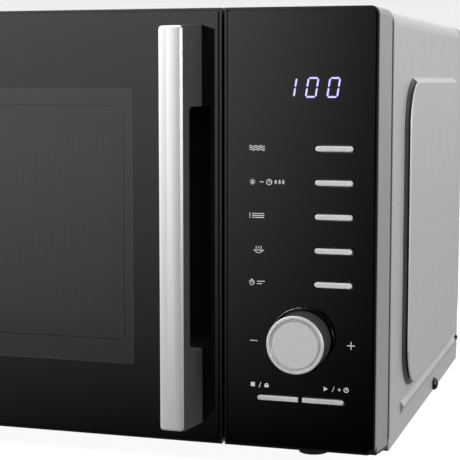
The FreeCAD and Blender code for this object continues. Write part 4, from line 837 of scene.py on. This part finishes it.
def add_display():
    """The digits of a cooking time, lit behind the glass."""
    bottom, height, width = 214.4, 10.4, 5.6
    outlines = []
    for value, left in (("1", 166.6), ("0", 179.0), ("0", 191.2)):
        outlines += digit(value, left, bottom, width, height)
    add_print("display_digits", outlines, "display_glow", "cabinet")


# width of the pictograms' lines in millimetres
LINE = 0.42


def wave_icon(left, middle):
    """Three rows of waves for microwave power."""
    length, rise, spacing, waves, steps = 9.0, 0.32, 1.05, 3, 24
    outlines = []
    for row in (-1, 0, 1):
        points = [(left + length * step / steps,
                   middle + row * spacing + rise * math.sin(step / steps * 2 * waves * math.pi))
                  for step in range(steps + 1)]
        outlines.append(band(points, LINE))
    return outlines


def clock_icon(centre, radius):
    """Clock face with two hands."""
    face = arc_points(centre, radius, 0, 345, 24)
    hands = [(centre[0], centre[1] + radius * 0.62), centre,
             (centre[0] + radius * 0.5, centre[1])]
    return closed_band(face, LINE) + path_strokes(hands, LINE)


def defrost_icon(left, middle):
    """Snowflake, a dash, a clock and three drops."""
    outlines = []
    arm_reach, branch_start, branch_reach = 1.55, 1.0, 0.62
    centre = (left + 1.9, middle)
    for index in range(3):
        angle = math.radians(90 + index * 60)
        arm = (arm_reach * math.cos(angle), arm_reach * math.sin(angle))
        outlines.append(stroke((centre[0] - arm[0], centre[1] - arm[1]),
                               (centre[0] + arm[0], centre[1] + arm[1]), LINE))
    for index in range(6):
        angle = math.radians(30 + index * 60)
        tip = Vector((centre[0] + branch_start * math.cos(angle),
                      centre[1] + branch_start * math.sin(angle)))
        for turn in (-40, 40):
            away = math.radians(30 + index * 60 + turn)
            end = (tip.x + branch_reach * math.cos(away), tip.y + branch_reach * math.sin(away))
            outlines.append(stroke(tip, end, LINE * 0.8))
    outlines.append(stroke((left + 6.0, middle), (left + 8.4, middle), LINE))
    outlines += clock_icon((left + 11.6, middle), 1.5)
    for drop in range(3):
        x = left + 15.4 + drop * 2.2
        outlines.append(band([(x, middle + 1.3), (x - 0.55, middle - 0.3), (x, middle - 1.0),
                              (x + 0.55, middle - 0.3), (x, middle + 1.3)], LINE))
    return outlines


def menu_icon(left, middle):
    """List with a dot before each line."""
    outlines = []
    for row in (-1, 0, 1):
        z = middle + row * 1.1
        outlines.append(stroke((left, z), (left + 0.7, z), 0.6))
        outlines.append(stroke((left + 1.6, z), (left + 8.8, z), LINE))
    return outlines


def bowl_icon(left, middle):
    """Bowl with three wisps of steam."""
    centre = (left + 5.6, middle + 0.1)
    outlines = [band(arc_points(centre, 2.3, 200, 340, 14), LINE),
                stroke((centre[0] - 3.1, centre[1] - 0.75), (centre[0] + 3.1, centre[1] - 0.75),
                       LINE)]
    for index in (-1, 0, 1):
        x = centre[0] + index * 1.5
        outlines.append(band([(x - 0.25, centre[1] + 0.1), (x + 0.2, centre[1] + 0.6),
                              (x - 0.2, centre[1] + 1.1), (x + 0.25, centre[1] + 1.6)],
                             LINE * 0.85))
    return outlines


def timer_icon(left, middle):
    """Kitchen timer beside two bars."""
    outlines = clock_icon((left + 1.6, middle - 0.15), 1.35)
    outlines.append(stroke((left + 1.1, middle + 1.6), (left + 2.1, middle + 1.6), LINE))
    outlines.append(stroke((left + 4.6, middle + 0.7), (left + 9.2, middle + 0.7), LINE))
    outlines.append(stroke((left + 4.6, middle - 0.7), (left + 7.6, middle - 0.7), LINE))
    return outlines


def add_panel_print():
    """Pictograms beside the keys, and the signs round the knob."""
    left, first, pitch = 146.6, 185.8, 19.05
    icons = (("waves", wave_icon), ("defrost", defrost_icon), ("list", menu_icon),
             ("bowl", bowl_icon), ("timer", timer_icon))
    for index, (name, draw) in enumerate(icons):
        add_print(f"icon_{name}", draw(left, first - pitch * index), "print_white",
                  "cabinet")
    sign_line, sign_level = 0.5, 76.0
    add_print("sign_minus", [stroke((147.1, sign_level), (151.6, sign_level), sign_line)],
              "print_white", "cabinet")
    plus_x, half, bar = 205.9, 2.2, sign_line / 2
    plus = [stroke((plus_x - half, sign_level), (plus_x + half, sign_level), sign_line),
            stroke((plus_x, sign_level + half), (plus_x, sign_level + bar), sign_line),
            stroke((plus_x, sign_level - bar), (plus_x, sign_level - half), sign_line)]
    add_print("sign_plus", plus, "print_white", "cabinet")
    key_level = 50.6
    add_print("icon_stop", stop_icon(147.6, key_level), "print_white", "cabinet")
    add_print("icon_start", start_icon(190.4, key_level), "print_white", "cabinet")


def stop_icon(left, middle):
    """Stop square, a slash and a padlock."""
    square = [(left, middle - 1.25), (left + 2.5, middle - 1.25), (left + 2.5, middle + 1.25),
              (left, middle + 1.25)]
    slash = stroke((left + 5.0, middle - 1.5), (left + 6.1, middle + 1.5), LINE)
    lock_x, lock_top = left + 9.4, middle + 0.2
    body = [(lock_x - 1.2, middle - 1.3), (lock_x + 1.2, middle - 1.3), (lock_x + 1.2, lock_top),
            (lock_x - 1.2, lock_top)]
    shackle = band(arc_points((lock_x, lock_top), 0.8, 0, 180, 10), LINE)
    return [square, slash, body, shackle]


def start_icon(left, middle):
    """Start triangle, a slash, a plus and a clock."""
    triangle = [(left, middle - 1.4), (left + 2.5, middle), (left, middle + 1.4)]
    slash = stroke((left + 5.0, middle - 1.5), (left + 6.1, middle + 1.5), LINE)
    plus_x = left + 9.0
    plus = [stroke((plus_x - 0.9, middle), (plus_x + 0.9, middle), LINE),
            stroke((plus_x, middle + 0.9), (plus_x, middle + 0.2), LINE),
            stroke((plus_x, middle - 0.2), (plus_x, middle - 0.9), LINE)]
    return [triangle, slash] + plus + clock_icon((left + 13.0, middle), 1.25)


# ---------------------------------------------------------------- back and edges
def cross_screw(name, place, radius, height):
    """Domed screw head with a cross recess, standing out towards +Y."""
    # share of the radius, then the share of the height reached there
    levels = ((1.0, 0.0), (1.0, 0.35), (0.86, 0.72), (0.55, 0.95))
    steps = 32
    points, faces = [], []
    for share, rise in levels:
        for step in range(steps):
            angle = 2 * math.pi * step / steps
            points.append((place[0] + radius * share * math.cos(angle), place[1] + height * rise,
                           place[2] + radius * share * math.sin(angle)))
    for row in range(len(levels) - 1):
        for step in range(steps):
            following = (step + 1) % steps
            faces.append((row * steps + step, row * steps + following,
                          (row + 1) * steps + following, (row + 1) * steps + step))
    last = len(points) - steps
    faces.append(tuple(range(steps)))
    points, faces = cross_top(points, faces, last, steps, place, radius, height)
    new_piece(name, points, faces, "steel", "cabinet")


def cross_top(points, faces, last, steps, place, radius, height):
    """Close the head with a top that dips into a four-armed recess."""
    arm_width, arm_reach, hub_reach = 0.42, 0.42, 0.14
    middle = len(points)
    for step in range(steps):
        angle = 2 * math.pi * step / steps
        in_arm = abs(math.sin(2 * angle)) < arm_width
        reach = radius * (arm_reach if in_arm else hub_reach)
        points.append((place[0] + reach * math.cos(angle), place[1] + height,
                       place[2] + reach * math.sin(angle)))
    deep = len(points)
    for step in range(steps):
        x, _, z = points[middle + step]
        points.append((place[0] + (x - place[0]) * 0.8, place[1] + height * 0.35,
                       place[2] + (z - place[2]) * 0.8))
    for step in range(steps):
        following = (step + 1) % steps
        faces.append((last + step, last + following, middle + following, middle + step))
        faces.append((middle + step, middle + following, deep + following, deep + step))
    faces.append(tuple(range(deep, deep + steps)))
    return points, faces


def add_rear_screws():
    """Screws down both sides and along the top of the rear edge."""
    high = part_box("cabinet_cover")[1]
    inset, radius, height = 9 * MM, 3.6 * MM, 1.9 * MM
    places = [(sign * (COVER_HALF_WIDTH - inset), z) for sign in (-1, 1)
              for z in (40 * MM, 140 * MM, 240 * MM)]
    places += [(x * MM, high.z - inset) for x in (-110, 0, 60)]
    for index, (x, z) in enumerate(places):
        cross_screw(f"rear_screw_{index + 1}", (x, high.y, z), radius, height)


add_camera()
add_world()
shades = make_materials()
add_studio()
dress_cad_nodes()
add_handle_face()
add_handle_corners()
add_knob()
add_knob_bezel()
add_cover_hems()
add_seam_shadow_strip()
add_panel_heel()
add_side_screws()
add_display()
add_panel_print()
add_rear_screws()
